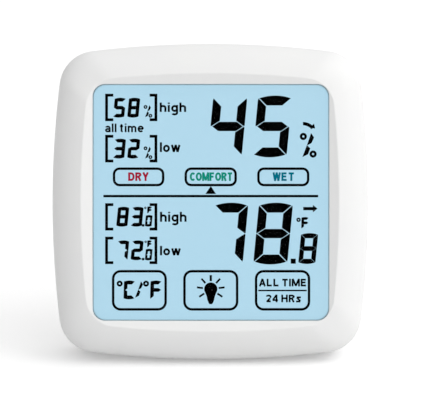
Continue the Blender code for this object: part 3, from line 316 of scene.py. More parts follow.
# Letters, in heights of a capital before a word is drawn out to fill its box: a width, then straight
# strokes by their ends, and arcs by middle, radii and angles
LETTER_SPACE = 0.34
LETTERS = {
    " ": (-0.12, ()),
    "a": (0.44, ((0.22, 0.51, 0.20, 0.24, 165, 0), ((0.44, 0.52), (0.44, 0.0)),
                 (0.22, 0.23, 0.22, 0.25, 0, 360))),
    "e": (0.52, ((0.26, 0.37, 0.26, 0.39, 0, 318), ((0.0, 0.38), (0.54, 0.38)))),
    "g": (0.48, ((0.24, 0.37, 0.24, 0.37, 0, 360), ((0.48, 0.74), (0.48, -0.12)),
                 (0.24, -0.10, 0.24, 0.27, 0, -155))),
    "h": (0.46, (((0.0, 0.0), (0.0, 1.0)), (0.23, 0.46, 0.23, 0.28, 180, 0), ((0.46, 0.46), (0.46, 0.0)))),
    "i": (0.0, (((0.0, 0.0), (0.0, 0.74)), ((0.0, 0.86), (0.0, 1.0)))),
    "l": (0.0, (((0.0, 0.0), (0.0, 1.0)),)),
    "m": (0.80, (((0.0, 0.0), (0.0, 0.74)), (0.20, 0.48, 0.20, 0.26, 180, 0), ((0.40, 0.48), (0.40, 0.0)),
                 (0.60, 0.48, 0.20, 0.26, 180, 0), ((0.80, 0.48), (0.80, 0.0)))),
    "o": (0.52, ((0.26, 0.37, 0.26, 0.38, 0, 360),)),
    "s": (0.48, (((0.0, 0.64), (0.52, 0.64)), ((0.02, 0.60), (0.46, 0.16)), ((-0.08, 0.10), (0.46, 0.10)))),
    "t": (0.26, (((0.12, 0.14), (0.12, 0.93)), ((-0.06, 0.68), (0.30, 0.68)),
                 (0.24, 0.16, 0.12, 0.16, 180, 285))),
    "w": (0.82, (((0.0, 0.74), (0.21, 0.0)), ((0.21, 0.0), (0.41, 0.74)), ((0.41, 0.74), (0.61, 0.0)),
                 ((0.61, 0.0), (0.82, 0.74)))),
    "2": (0.50, ((0.25, 0.71, 0.24, 0.29, 170, -40), ((0.43, 0.53), (0.02, 0.06)),
                 ((0.0, 0.0), (0.52, 0.0)))),
    "4": (0.54, (((0.40, 0.0), (0.40, 1.0)), ((0.40, 0.97), (-0.05, 0.30)), ((-0.10, 0.28), (0.58, 0.28)))),
    "A": (0.66, (((0.0, 0.0), (0.33, 1.0)), ((0.33, 1.0), (0.66, 0.0)), ((0.12, 0.32), (0.54, 0.32)))),
    "C": (0.60, ((0.32, 0.5, 0.32, 0.5, 45, 315),)),
    "D": (0.56, (((0.0, 0.0), (0.0, 1.0)), ((0.0, 1.0), (0.24, 1.0)), ((0.0, 0.0), (0.24, 0.0)),
                 (0.24, 0.5, 0.32, 0.5, 90, -90))),
    "E": (0.54, (((0.0, 0.0), (0.0, 1.0)), ((0.0, 1.0), (0.54, 1.0)), ((0.0, 0.52), (0.50, 0.52)),
                 ((0.0, 0.0), (0.56, 0.0)))),
    "F": (0.54, (((0.0, 0.0), (0.0, 1.0)), ((0.0, 1.0), (0.56, 1.0)), ((0.0, 0.50), (0.48, 0.50)))),
    "H": (0.58, (((0.0, 0.0), (0.0, 1.0)), ((0.58, 0.0), (0.58, 1.0)), ((0.0, 0.52), (0.58, 0.52)))),
    "I": (0.0, (((0.0, 0.0), (0.0, 1.0)),)),
    "L": (0.52, (((0.0, 0.0), (0.0, 1.0)), ((0.0, 0.0), (0.54, 0.0)))),
    "M": (0.82, (((0.0, 0.0), (0.0, 1.0)), ((0.02, 1.0), (0.41, 0.06)), ((0.41, 0.06), (0.80, 1.0)),
                 ((0.82, 0.0), (0.82, 1.0)))),
    "O": (0.66, ((0.33, 0.5, 0.33, 0.5, 0, 360),)),
    "R": (0.54, (((0.0, 0.0), (0.0, 1.0)), ((0.0, 1.0), (0.30, 1.0)), ((0.0, 0.48), (0.30, 0.48)),
                 (0.28, 0.73, 0.24, 0.27, 90, -90), ((0.30, 0.46), (0.52, 0.0)))),
    "T": (0.60, (((-0.05, 1.0), (0.65, 1.0)), ((0.30, 0.0), (0.30, 1.0)))),
    "W": (0.84, (((0.0, 1.0), (0.20, 0.0)), ((0.20, 0.0), (0.42, 1.0)), ((0.42, 1.0), (0.64, 0.0)),
                 ((0.64, 0.0), (0.84, 1.0)))),
    "Y": (0.58, (((0.0, 1.0), (0.29, 0.44)), ((0.58, 1.0), (0.29, 0.44)), ((0.29, 0.0), (0.29, 0.48)))),
}

# Mesh resolution
SIDE_STEPS = 16
CORNER_STEPS = 16
SMALL_CORNER_STEPS = 6
SIGN_ROUND_STEPS = 24
CROWN_STEPS = 4
BEZEL_STEPS = 18
RIDGE_STEPS = 6
EDGE_STEPS = 10
RIM_STEPS = 4
TURN_STEPS = 48
LEG_STEPS = 10
WELD_DISTANCE = 0.003 * MM
SMOOTH_ANGLE = math.radians(32.0)

# How the instrument leans, and the leg's pivot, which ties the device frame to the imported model
LEAN = math.radians(15.0)
TILT = Matrix.Rotation(-LEAN, 4, 'X')
LEG_JOINT = next(joint for joint in frame["joints"] if joint["name"] == "stand_fold")
LEG_PIVOT = Vector((0.0, LEG_AXIS, LEG_PIVOT_HEIGHT))
DEVICE = Matrix.Translation(Vector(LEG_JOINT["pos_m"]) - TILT @ LEG_PIVOT) @ TILT

# Patterns of the materials; at a scale of 1 a wave is as long as WAVE_LENGTH
NOISE_DETAIL = 3.0
WAVE_LENGTH = math.pi / 10

# Camera and picture
PICTURE_WIDTH = 424
PICTURE_PIXEL = 0.3424 * MM
CASE_MIDDLE_PIXEL = (210.2, 201.6)
PICTURE_MIDDLE_PIXEL = (212.0, 203.0)
CAMERA_DISTANCE = 1.0
SENSOR_WIDTH = 36.0

# Light: the surround's mean level and its slope towards the upper right front, the floor's size and own
# white, and a sun
SURROUND_LEVEL = 0.715
SURROUND_SLOPE = (0.6, -0.31, 0.16)
FLOOR_SIZE = 12.0
FLOOR_GLOW = 0.32
SUN_TOWARDS = (0.62, -0.45, 0.64)
SUN_STRENGTH = 0.45
SUN_ANGLE = math.radians(30.0)


# Modelling helpers
def select_only(piece):
    bpy.ops.object.select_all(action='DESELECT')
    piece.select_set(True)
    bpy.context.view_layer.objects.active = piece


def lay_ring(piece, order, ring):
    """Move one loop of points, given by index, onto a ring."""
    mesh = bmesh.from_edit_mesh(piece.data)
    mesh.verts.ensure_lookup_table()
    for index, place in zip(order, ring):
        mesh.verts[index].co = place
    bmesh.update_edit_mesh(piece.data)


def extruded_order(piece, order):
    """Indices of the points just extruded, in the order of the points they came from."""
    mesh = bmesh.from_edit_mesh(piece.data)
    mesh.verts.index_update()
    mesh.verts.ensure_lookup_table()
    fresh = []
    for index in order:
        old = mesh.verts[index]
        across = [edge.other_vert(old) for edge in old.link_edges]
        fresh.append(next(point.index for point in across if point.select))
    return fresh


def pick_points(piece, chosen):
    """Select these points of a piece in edit mode, and the edges between them."""
    bpy.ops.mesh.select_all(action='DESELECT')
    mesh = bmesh.from_edit_mesh(piece.data)
    mesh.verts.ensure_lookup_table()
    for index in chosen:
        mesh.verts[index].select = True
    mesh.select_flush(True)
    bmesh.update_edit_mesh(piece.data)


def skin(name, rings, ends='CAPS'):
    """Lay a circle on the first ring and extrude it from ring to ring; then cap or join the ends."""
    bpy.ops.object.select_all(action='DESELECT')
    bpy.ops.mesh.primitive_circle_add(vertices=len(rings[0]))
    piece = bpy.context.object
    piece.name = name
    bpy.ops.object.mode_set(mode='EDIT')
    bpy.ops.mesh.select_mode(type='VERT')
    bpy.ops.mesh.select_all(action='SELECT')
    first = list(range(len(rings[0])))
    order = first
    lay_ring(piece, order, rings[0])
    for ring in rings[1:]:
        bpy.ops.mesh.extrude_region()
        order = extruded_order(piece, order)
        lay_ring(piece, order, ring)
    if ends == 'CAPS':
        for loop in (first, order):
            pick_points(piece, loop)
            bpy.ops.mesh.edge_face_add()
    else:
        pick_points(piece, first + order)
        bpy.ops.mesh.bridge_edge_loops()
    bpy.ops.mesh.select_all(action='SELECT')
    bpy.ops.mesh.normals_make_consistent(inside=False)
    bpy.ops.object.mode_set(mode='OBJECT')
    return piece


def join(name, pieces):
    """Make one object of several, each still a closed body of its own."""
    select_only(pieces[0])
    for piece in pieces:
        piece.select_set(True)
    if len(pieces) > 1:
        bpy.ops.object.join()
    joined = bpy.context.object
    joined.name = name
    return joined


def combine(piece, operation, tools):
    """Add the tools to a piece, or cut them from it, and remove them."""
    tool = join("tool", tools)
    modifier = piece.modifiers.new("shape", 'BOOLEAN')
    modifier.operation = operation
    modifier.solver = 'EXACT'
    modifier.object = tool
    select_only(piece)
    bpy.ops.object.modifier_apply(modifier=modifier.name)
    bpy.data.objects.remove(tool, do_unlink=True)


def block(low, high):
    """Plain block between two corners, to be joined to a piece or cut from it."""
    bpy.ops.object.select_all(action='DESELECT')
    middle = (Vector(low) + Vector(high)) / 2
    bpy.ops.mesh.primitive_cube_add(size=1.0, location=middle, scale=Vector(high) - Vector(low))
    bpy.ops.object.transform_apply(location=True, rotation=True, scale=True)
    return bpy.context.object


def turned(name, place, profile):
    """Round body about a line along the depth, from (depth, radius) pairs."""
    return skin(name, [level_ring(circle(*place, radius, TURN_STEPS), depth) for depth, radius in profile])


def turned_across(name, depth, height, profile, ends='CAPS'):
    """Round body about a line across the case, from (x, radius) pairs."""
    rings = []
    for x, radius in profile:
        rings.append([Vector((x, y, z)) for y, z in circle(depth, height, radius, TURN_STEPS)])
    return skin(name, rings, ends)


def quarter_turn(steps):
    """Angles from nothing to a right angle."""
    return [math.pi / 2 * step / steps for step in range(steps + 1)]


def rim_rings(grown, face, rim, spread):
    """Rings round a quarter-round edge: the outline spreads (1) or draws in (-1) towards the face."""
    rings = []
    for angle in quarter_turn(RIM_STEPS):
        growth = spread * rim * (1 - math.cos(angle))
        rings.append(level_ring(grown(growth), face - rim * (1 - math.sin(angle))))
    return rings


def opening(grown, floor, rim=RIM, face=CASE_DEPTH):
    """Cutter for an opening with a rounded rim; grown(size) is its outline, so much larger."""
    rings = [level_ring(grown(0.0), floor)] + rim_rings(grown, face, rim, 1)
    rings.append(level_ring(grown(rim), face + WALL))
    return skin("opening", rings)


def slab(name, grown, front, face, rim=RIM):
    """Plate with a quarter-round edge at its rear face."""
    return skin(name, [level_ring(grown(0.0), front)] + rim_rings(grown, face, rim, -1))


def settle(piece, body, slot, material, *nodes):
    """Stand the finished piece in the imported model, with its place in its mesh, and tie it to its body."""
    piece.matrix_world = DEVICE @ piece.matrix_world
    select_only(piece)
    bpy.ops.object.transform_apply(location=True, rotation=True, scale=True)
    bpy.ops.object.shade_smooth_by_angle(angle=SMOOTH_ANGLE)
    flats = piece.modifiers.new("flat_faces", 'WEIGHTED_NORMAL')
    flats.keep_sharp = True
    bpy.ops.object.modifier_apply(modifier=flats.name)
    piece.data.materials.clear()
    piece.data.materials.append(material)
    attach(piece, body)
    if nodes:
        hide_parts(*nodes)


# Outlines, as (x, z) points
def outline(half, side_radius, corner_radius):
    """Rounded square of four shallow side arcs and four corner arcs."""
    reach = side_radius - half
    centre = (math.sqrt(2 * (side_radius - corner_radius) ** 2 - reach ** 2) - reach) / 2
    turn = math.atan2(centre, centre + reach)
    quarter = []
    for step in range(-SIDE_STEPS, SIDE_STEPS):
        angle = turn * step / SIDE_STEPS
        quarter.append((side_radius * math.cos(angle) - reach, side_radius * math.sin(angle)))
    for step in range(CORNER_STEPS):
        angle = turn + (math.pi / 2 - 2 * turn) * step / CORNER_STEPS
        x = centre + corner_radius * math.cos(angle)
        quarter.append((x, centre + corner_radius * math.sin(angle)))
    points = []
    for _ in range(4):
        points.extend(quarter)
        quarter = [(-z, x) for x, z in quarter]
    return points


def case_outline(inset):
    return outline(CASE_HALF - inset, CASE_SIDE_RADIUS - inset, CASE_CORNER_RADIUS - inset)


def square_outline(half, corner_radius):
    """Rounded square whose sides are arcs so large that they are straight to the eye."""
    return outline(half, STRAIGHT_SIDE_RADIUS, corner_radius)


def arc(x, z, radius, start, end, steps):
    """Arc about (x, z) from one angle to another, in degrees, with both its ends."""
    angles = [math.radians(start + (end - start) * step / steps) for step in range(steps + 1)]
    return [(x + radius * math.cos(angle), z + radius * math.sin(angle)) for angle in angles]


def circle(x, z, radius, steps):
    return arc(x, z, radius, 0, FULL_TURN, steps)[:-1]


def rounded_rectangle(low, high, radius):
    """Rectangle between two (x, z) corners, with round corners."""
    centres = ((high[0] - radius, high[1] - radius), (low[0] + radius, high[1] - radius),
               (low[0] + radius, low[1] + radius), (high[0] - radius, low[1] + radius))
    points = []
    for quarter, (x, z) in enumerate(centres):
        start = quarter * RIGHT_ANGLE
        points.extend(arc(x, z, radius, start, start + RIGHT_ANGLE, SMALL_CORNER_STEPS))
    return points


def placed(points, x, z, size=1.0):
    """Outline drawn about its own middle, brought to its size and place."""
    return [(x + across * size, z + up * size) for across, up in points]


def level_ring(points, depth):
    return [Vector((x, depth, z)) for x, z in points]


def blend_rings(first, second, share):
    return [near.lerp(far, share) for near, far in zip(first, second)]


# Front shell
def window_outline(inset):
    """Outline of the window's opening, or of what lies so far inside it."""
    return placed(square_outline(WINDOW_HALF - inset, WINDOW_CORNER_RADIUS - inset), *WINDOW_MIDDLE)


def distance_outside_window(x, z):
    """Distance from the window's edge out to a place, as if both had the same middle."""
    core = WINDOW_HALF - WINDOW_CORNER_RADIUS
    over = Vector((max(abs(x) - core, 0.0), max(abs(z) - core, 0.0)))
    return over.length - WINDOW_CORNER_RADIUS


def bezel_ring(girth, ridge, angle):
    """Ring on the bezel's elliptic arc, from the ridge at BEZEL_START out to the girth at a right angle."""
    out = (math.sin(angle) - math.sin(BEZEL_START)) / (1 - math.sin(BEZEL_START))
    back = (math.cos(BEZEL_START) - math.cos(angle)) / math.cos(BEZEL_START)
    ring = []
    for low, top in zip(girth, ridge):
        fall = low - top
        ring.append(top + Vector((fall.x * out, fall.y * back, fall.z * out)))
    return ring


def ridge_rings(outer, ridge, window):
    """Soft round over the ridge, from the bezel ring outside it to the window wall inside it."""
    inner = []
    for top, edge in zip(ridge, window):
        width = (edge - top).length
        inner.append(top.lerp(edge, min(RIDGE_ROUND, width / 2) / width))
    rings = []
    for step in range(RIDGE_STEPS + 1):
        share = step / RIDGE_STEPS
        rings.append(blend_rings(blend_rings(outer, ridge, share), blend_rings(ridge, inner, share), share))
    return rings


def front_case_shell():
    """Front moulding: girth, domed bezel, ridge, drafted window wall, lens pocket and inside wall."""
    wall_slope = WINDOW_EDGE_DEPTH / (RIDGE_HALF - WINDOW_HALF)
    girth = level_ring(case_outline(0.0), GIRTH_DEPTH)
    ridge = []
    for x, z in outline(RIDGE_HALF, RIDGE_SIDE_RADIUS, RIDGE_CORNER_RADIUS):
        depth = WINDOW_EDGE_DEPTH - wall_slope * distance_outside_window(x, z)
        ridge.append(Vector((x + RIDGE_MIDDLE[0], depth, z + RIDGE_MIDDLE[1])))
    window = level_ring(window_outline(0.0), WINDOW_EDGE_DEPTH)
    window_rear = level_ring(window_outline(0.0), LENS_FRONT - GAP)
    round_out = RIDGE_ROUND / (CASE_HALF - RIDGE_HALF)
    round_angle = math.asin(math.sin(BEZEL_START) + round_out * (1 - math.sin(BEZEL_START)))
    rings = [level_ring(case_outline(SEAM_ROUND), SEAM_DEPTH),
             level_ring(case_outline(0.0), SEAM_DEPTH - SEAM_ROUND)]
    for step in range(BEZEL_STEPS):
        angle = math.pi / 2 + (round_angle - math.pi / 2) * step / BEZEL_STEPS
        rings.append(bezel_ring(girth, ridge, angle))
    rings.extend(ridge_rings(bezel_ring(girth, ridge, round_angle), ridge, window))
    rings.extend([window, window_rear])
    rings.append(level_ring(square_outline(LENS_HALF + GAP, LENS_CORNER_RADIUS), LENS_FRONT - GAP))
    inside = case_outline(WALL)
    tongue = case_outline(WALL - TONGUE_THICKNESS)
    rings.append(level_ring(inside, GIRTH_DEPTH + WALL))
    rings.append(level_ring(inside, SEAM_DEPTH + TONGUE_LENGTH))
    rings.append(level_ring(tongue, SEAM_DEPTH + TONGUE_LENGTH))
    rings.append(level_ring(tongue, SEAM_DEPTH))
    return skin("front_case_shell", rings, 'JOINED')


# Rear shell
def base_height(depth):
    """Height of the flat base under the rear shell, which slopes up by the lean."""
    return -CASE_HALF - BASE_CLEARANCE + (depth - SEAM_DEPTH) * math.tan(LEAN)


def rear_ring(inset, depth, wall):
    """Ring of the rear shell, flattened where it would reach below the base."""
    floor = base_height(depth) + wall / math.cos(LEAN)
    return [Vector((x, depth, max(z, floor))) for x, z in case_outline(inset)]


def rear_shell_rings(first_depth, wall):
    """Rings from the seam to the flat back: a drafted side, then a rounded rear edge."""
    edge_start = CASE_DEPTH - REAR_EDGE_RADIUS
    radius = REAR_EDGE_RADIUS - wall
    rings = []
    for depth in (first_depth, (first_depth + edge_start) / 2):
        draft = REAR_DRAFT * (depth - SEAM_DEPTH) / (edge_start - SEAM_DEPTH)
        rings.append(rear_ring(wall + draft, depth, wall))
    for angle in quarter_turn(EDGE_STEPS):
        inset = wall + REAR_DRAFT + radius * (1 - math.cos(angle))
        rings.append(rear_ring(inset, edge_start + radius * math.sin(angle), wall))
    return rings


def rear_shell_blank():
    """Cup-shaped shell with a rebate round its mouth and a softened seam edge."""
    mouth = SEAM_DEPTH + GAP
    rebate_floor = SEAM_DEPTH + TONGUE_LENGTH + GAP
    rebate_inset = WALL - TONGUE_THICKNESS - GAP
    rings = rear_shell_rings(rebate_floor, WALL)[::-1]
    rings.append(rear_ring(rebate_inset, rebate_floor, rebate_inset))
    rings.append(rear_ring(rebate_inset, mouth, rebate_inset))
    rings.append(rear_ring(SEAM_ROUND, mouth, 0.0))
    rings.extend(rear_shell_rings(mouth + SEAM_ROUND, 0.0))
    return skin("rear_case_shell", rings)


def rear_bodies():
    """What stands inside the shell: battery box, leg pocket, screw posts, magnet seats and button guide."""
    root = CASE_DEPTH - WALL / 2
    box_side = BAY_HALF_WIDTH + BAY_WALL_SIDE
    pocket_side = LEG_TOP_HALF + POCKET_CLEARANCE + POCKET_WALL
    pocket_front = LEG_POCKET_FLOOR - POCKET_FLOOR_THICKNESS
    bodies = [block((-box_side, BAY_FLOOR - BAY_FLOOR_THICKNESS, BAY_MIDDLE - BAY_HALF_HEIGHT - BAY_WALL_LOW),
                    (box_side, root, BAY_MIDDLE + BAY_HALF_HEIGHT + BAY_WALL_SIDE)),
              block((-pocket_side, pocket_front, base_height(pocket_front) + WALL / 2),
                    (pocket_side, root, LEG_PIVOT_HEIGHT + LEG_HEEL + POCKET_WALL))]
    guide = BUTTON_RADIUS + GAP + BUTTON_GUIDE_WALL
    rounds = [(place, CASE_POST_RADIUS, SEAM_DEPTH + GAP) for place in SCREW_PLACES]
    rounds.extend((place, MAGNET_RADIUS + MAGNET_WALL, MAGNET_FLOOR - MAGNET_WALL) for place in MAGNET_PLACES)
    rounds.append((BUTTON_AT, guide, BUTTON_GUIDE_DEPTH))
    for place, radius, front in rounds:
        bodies.append(turned("body", place, [(front, radius), (root, radius)]))
    return bodies


def latch_seat():
    """Thick wall behind the finger scoop above the battery door."""
    return block((-SCOOP_HALF - WALL, CASE_DEPTH - 2 * WALL, BAY_MIDDLE + BAY_HALF_HEIGHT),
                 (SCOOP_HALF + WALL, CASE_DEPTH - WALL / 2, DOOR_HIGH + LATCH_REACH + SCOOP_RADIUS))


def door_outline(growth):
    return rounded_rectangle((-DOOR_HALF_WIDTH - growth, DOOR_LOW - growth),
                             (DOOR_HALF_WIDTH + growth, DOOR_HIGH + growth), DOOR_CORNER_RADIUS + growth)


def latch_outline(growth):
    return rounded_rectangle((-LATCH_HALF - growth, DOOR_HIGH - WALL),
                             (LATCH_HALF + growth, DOOR_HIGH + LATCH_REACH + growth), LATCH_CORNER + growth)


def leg_half_width(height):
    """Half width of the tapered leg at a height measured from its pivot."""
    share = -height / (LEG_REACH + LEG_THICKNESS / 2)
    return LEG_TOP_HALF + (LEG_TIP_HALF - LEG_TOP_HALF) * max(share, 0.0)


def pocket_outline(growth):
    """Tapered pocket for the leg, open at the base."""
    low = -CASE_HALF - WALL
    top = LEG_PIVOT_HEIGHT + LEG_HEEL + POCKET_CLEARANCE + growth
    top_half = LEG_TOP_HALF + POCKET_CLEARANCE + growth
    low_half = leg_half_width(low - LEG_PIVOT_HEIGHT) + POCKET_CLEARANCE + growth
    return [(low_half, low), (top_half, LEG_PIVOT_HEIGHT), (top_half, top),
            (-top_half, top), (-top_half, LEG_PIVOT_HEIGHT), (-low_half, low)]


def round_opening(place, radius, floor, rim=RIM):
    return opening(lambda growth: circle(*place, radius + growth, TURN_STEPS), floor, rim)


def slot_opening(middle, half_width, half_height, floor, rim):
    """Opening with round ends, about an (x, z) middle."""
    radius = min(half_width, half_height) * SLOT_ROUND

    def grown(growth):
        low = (middle[0] - half_width - growth, middle[1] - half_height - growth)
        high = (middle[0] + half_width + growth, middle[1] + half_height + growth)
        return rounded_rectangle(low, high, radius + growth)
    return opening(grown, floor, rim)


def back_openings():
    """Battery space, screw wells, magnet seats, vents, button hole and leg pocket."""
    cuts = [block((-BAY_HALF_WIDTH, BAY_FLOOR, BAY_MIDDLE - BAY_HALF_HEIGHT),
                  (BAY_HALF_WIDTH, CASE_DEPTH + WALL, BAY_MIDDLE + BAY_HALF_HEIGHT))]
    cuts.extend(round_opening(place, WELL_RADIUS, WELL_FLOOR) for place in SCREW_PLACES)
    cuts.extend(round_opening(place, MAGNET_RADIUS + GAP, MAGNET_FLOOR, FINE_RIM) for place in MAGNET_PLACES)
    cuts.append(round_opening(BUTTON_AT, BUTTON_RADIUS + GAP, BUTTON_GUIDE_DEPTH - WALL))
    for index in range(VENT_COUNT):
        middle = ((index - (VENT_COUNT - 1) / 2) * VENT_PITCH, (VENT_LOW + VENT_HIGH) / 2)
        half_height = (VENT_HIGH - VENT_LOW) / 2
        cuts.append(slot_opening(middle, VENT_HALF_WIDTH, half_height, CASE_DEPTH - 2 * WALL, FINE_RIM))
    cuts.append(opening(pocket_outline, LEG_POCKET_FLOOR))
    return cuts


def ledges_and_sockets():
    """Door ledge, screw shank holes and the sockets of the leg's pins."""
    cuts = [opening(lambda growth: door_outline(GAP + growth), DOOR_INNER - GAP)]
    hole = SHANK_RADIUS + GAP
    for place in SCREW_PLACES:
        cuts.append(turned("hole", place, [(SEAM_DEPTH, hole), (WELL_FLOOR + WALL / 2, hole)]))
    socket = PIN_RADIUS + GAP / 2
    socket_end = LEG_TOP_HALF + PIN_LENGTH + POCKET_CLEARANCE
    for side in (-1, 1):
        ends = [(side * (LEG_TOP_HALF - WALL), socket), (side * socket_end, socket)]
        cuts.append(turned_across("socket", LEG_AXIS, LEG_PIVOT_HEIGHT, ends))
    return cuts


def slots_and_groove():
    """Slots for the door's tabs, its latch and the contact tails, and the groove for the leg's heel."""
    cuts = [opening(lambda growth: latch_outline(POCKET_CLEARANCE + growth), DOOR_INNER - GAP)]
    half = DOOR_TAB_HALF + POCKET_CLEARANCE
    for side in (-1, 1):
        cuts.append(block((side * DOOR_TAB_AT - half, DOOR_INNER - 2 * WALL,
                           DOOR_LOW - DOOR_TAB_REACH - POCKET_CLEARANCE),
                          (side * DOOR_TAB_AT + half, DOOR_INNER + GAP, DOOR_LOW + WALL)))
        middle = BAY_MIDDLE + side * CELL_PITCH / 2
        cuts.append(block((BAY_HALF_WIDTH - TAIL_SLOT_DEPTH, SEAM_DEPTH, middle - TAIL_SLOT_HALF),
                          (BAY_HALF_WIDTH - TAIL_SLOT_MARGIN, BAY_FLOOR + WALL, middle + TAIL_SLOT_HALF)))
    groove_half = LEG_TOP_HALF + GROOVE_CLEARANCE
    cuts.append(block((-groove_half, LEG_POCKET_FLOOR - HEEL_GROOVE, LEG_PIVOT_HEIGHT),
                      (groove_half, LEG_POCKET_FLOOR + WALL, LEG_PIVOT_HEIGHT + LEG_HEEL + GAP)))
    return cuts


def finger_scoop():
    """Hollow above the latch for a fingertip, fading out at its ends."""
    profile = []
    for step in range(-EDGE_STEPS, EDGE_STEPS + 1):
        share = step / EDGE_STEPS
        profile.append((share * SCOOP_HALF, SCOOP_RADIUS - SCOOP_SINK * share ** SCOOP_FADE))
    return turned_across("scoop", CASE_DEPTH + SCOOP_RADIUS - SCOOP_SINK, DOOR_HIGH + LATCH_REACH, profile)


def rear_case_shell():
    shell = rear_shell_blank()
    combine(shell, 'UNION', rear_bodies())
    combine(shell, 'UNION', [latch_seat()])
    for cuts in (back_openings(), ledges_and_sockets(), slots_and_groove(), [finger_scoop()]):
        combine(shell, 'DIFFERENCE', cuts)
    return shell


# Display
def display_window():
    """Clear moulded window: a flange behind the lip and a raised middle that fills the opening."""
    raised = window_outline(GAP)
    flange = square_outline(LENS_HALF, LENS_CORNER_RADIUS)
    face = WINDOW_DEPTH + GAP
    edge_round = GAP / 2
    rings = [level_ring(window_outline(GAP + edge_round), face),
             level_ring(raised, face + edge_round),
             level_ring(raised, LENS_FRONT),
             level_ring(flange, LENS_FRONT),
             level_ring(flange, LENS_FRONT + LENS_THICKNESS)]
    return skin("display_window", rings)


def display_glass():
    """Front glass of the display, seen as a thin border round the field that is lit from behind; the border
    is painted shade, the shadow line along the window's edge.
    """
    whole = square_outline(GLASS_HALF, GAP)
    rings = [level_ring(whole, GLASS_FRONT), level_ring(whole, GLASS_FRONT + GLASS_THICKNESS)]
    return skin("display_glass", rings)


def lit_field():
    """Thin film over the glass, as large as the part of the display that is lit; it stops short of the
    window's edge and leaves the border glass there as a painted shadow line.
    """
    field = window_outline(PAINTED_SHADE_BORDER)
    return skin("lit_field", [level_ring(field, FIELD_FRONT), level_ring(field, FIELD_REAR)])


# Pieces on the back
def battery_door_panel():
    """Flush door with a latch above, two tabs below on their stems, and grip grooves."""
    door = slab("battery_door_panel", door_outline, DOOR_INNER, CASE_DEPTH)
    tabs = []
    stems = []
    for side in (-1, 1):
        left = side * DOOR_TAB_AT - DOOR_TAB_HALF
        right = side * DOOR_TAB_AT + DOOR_TAB_HALF
        tabs.append(block((left, DOOR_INNER - DOOR_TAB_THICKNESS, DOOR_LOW - DOOR_TAB_REACH),
                          (right, DOOR_INNER - GAP, DOOR_LOW + DOOR_TAB_ROOT)))
        stems.append(block((left, DOOR_INNER - DOOR_TAB_THICKNESS / 2, DOOR_LOW + DOOR_TAB_ROOT / 2),
                           (right, DOOR_INNER + DOOR_THICKNESS / 2, DOOR_LOW + DOOR_TAB_ROOT - GAP)))
    combine(door, 'UNION', stems)
    combine(door, 'UNION', tabs)
    combine(door, 'UNION', [slab("latch", latch_outline, DOOR_INNER, CASE_DEPTH - SINK)])
    grips = []
    grip_floor = CASE_DEPTH - GRIP_SINK
    for index in range(GRIP_COUNT):
        middle = (0.0, DOOR_HIGH - GRIP_MARGIN - index * GRIP_PITCH)
        grips.append(slot_opening(middle, GRIP_HALF_LENGTH, GRIP_HALF_WIDTH, grip_floor, FINE_RIM))
    combine(door, 'DIFFERENCE', grips)
    return door


def leg_section(inset, tip_raise, shrink):
    """Side outline of the leg, so far in from its side: a bar with a round heel and a round tip."""
    radius = LEG_THICKNESS / 2
    points = []
    for centre_height, start in ((LEG_HEEL - radius, 0.0), (tip_raise - LEG_REACH, math.pi)):
        for step in range(LEG_STEPS + 1):
            angle = start + math.pi * step / LEG_STEPS
            height = centre_height + (radius - shrink) * math.sin(angle)
            across = leg_half_width(centre_height + radius * math.sin(angle)) - inset
            depth = LEG_AXIS + (radius - shrink) * math.cos(angle)
            points.append(Vector((across, depth, LEG_PIVOT_HEIGHT + height)))
    return points


def round_shortfall(inset, radius):
    """How far a round corner falls short of a square one, so far in from its side."""
    short = max(radius - inset, 0.0)
    return radius - math.sqrt(radius ** 2 - short ** 2)


def leg_rings():
    """Sections of the leg from side to side: round edges, round tip corners and a straight middle."""
    insets = [LEG_EDGE_ROUND * (1 - math.cos(angle)) for angle in quarter_turn(RIM_STEPS)[:-1]]
    for step in range(LEG_STEPS + 1):
        insets.append(LEG_EDGE_ROUND + (LEG_TIP_CORNER - LEG_EDGE_ROUND) * step / LEG_STEPS)
    right = []
    for inset in insets:
        tip_raise = round_shortfall(inset, LEG_TIP_CORNER)
        right.append(leg_section(inset, tip_raise, round_shortfall(inset, LEG_EDGE_ROUND)))
    left = [[Vector((-point.x, point.y, point.z)) for point in section] for section in reversed(right)]
    return right + left


def leg_panel_outline(growth):
    """Recess in the leg's outer face: a rounded rectangle that tapers with the leg."""
    top = LEG_PIVOT_HEIGHT + LEG_PANEL_TOP + growth
    low = LEG_PIVOT_HEIGHT + LEG_PANEL_LOW - growth
    half = leg_half_width(LEG_PANEL_TOP) - LEG_PANEL_MARGIN + growth
    slope = (LEG_TOP_HALF - LEG_TIP_HALF) / (LEG_REACH + LEG_THICKNESS / 2)
    points = rounded_rectangle((-half, low), (half, top), LEG_PANEL_CORNER + growth)
    return [(x * (1 - slope * (top - z) / half), z) for x, z in points]


def stand_leg():
    """Easel leg with its pins and a shallow panel, drawn folded and then turned open."""
    leg = skin("stand_leg", leg_rings())
    end = LEG_TOP_HALF + PIN_LENGTH
    pin = [(-end, PIN_RADIUS - FINE_RIM), (FINE_RIM - end, PIN_RADIUS),
           (end - FINE_RIM, PIN_RADIUS), (end, PIN_RADIUS - FINE_RIM)]
    combine(leg, 'UNION', [turned_across("pin", LEG_AXIS, LEG_PIVOT_HEIGHT, pin)])
    outer_face = LEG_AXIS + LEG_THICKNESS / 2
    panel = opening(leg_panel_outline, outer_face - LEG_PANEL_SINK, FINE_RIM, outer_face)
    combine(leg, 'DIFFERENCE', [panel])
    turn = Matrix.Rotation(math.radians(LEG_JOINT["range_deg"][1]), 4, 'X')
    leg.matrix_world = Matrix.Translation(LEG_PIVOT) @ turn @ Matrix.Translation(-LEG_PIVOT)
    return leg


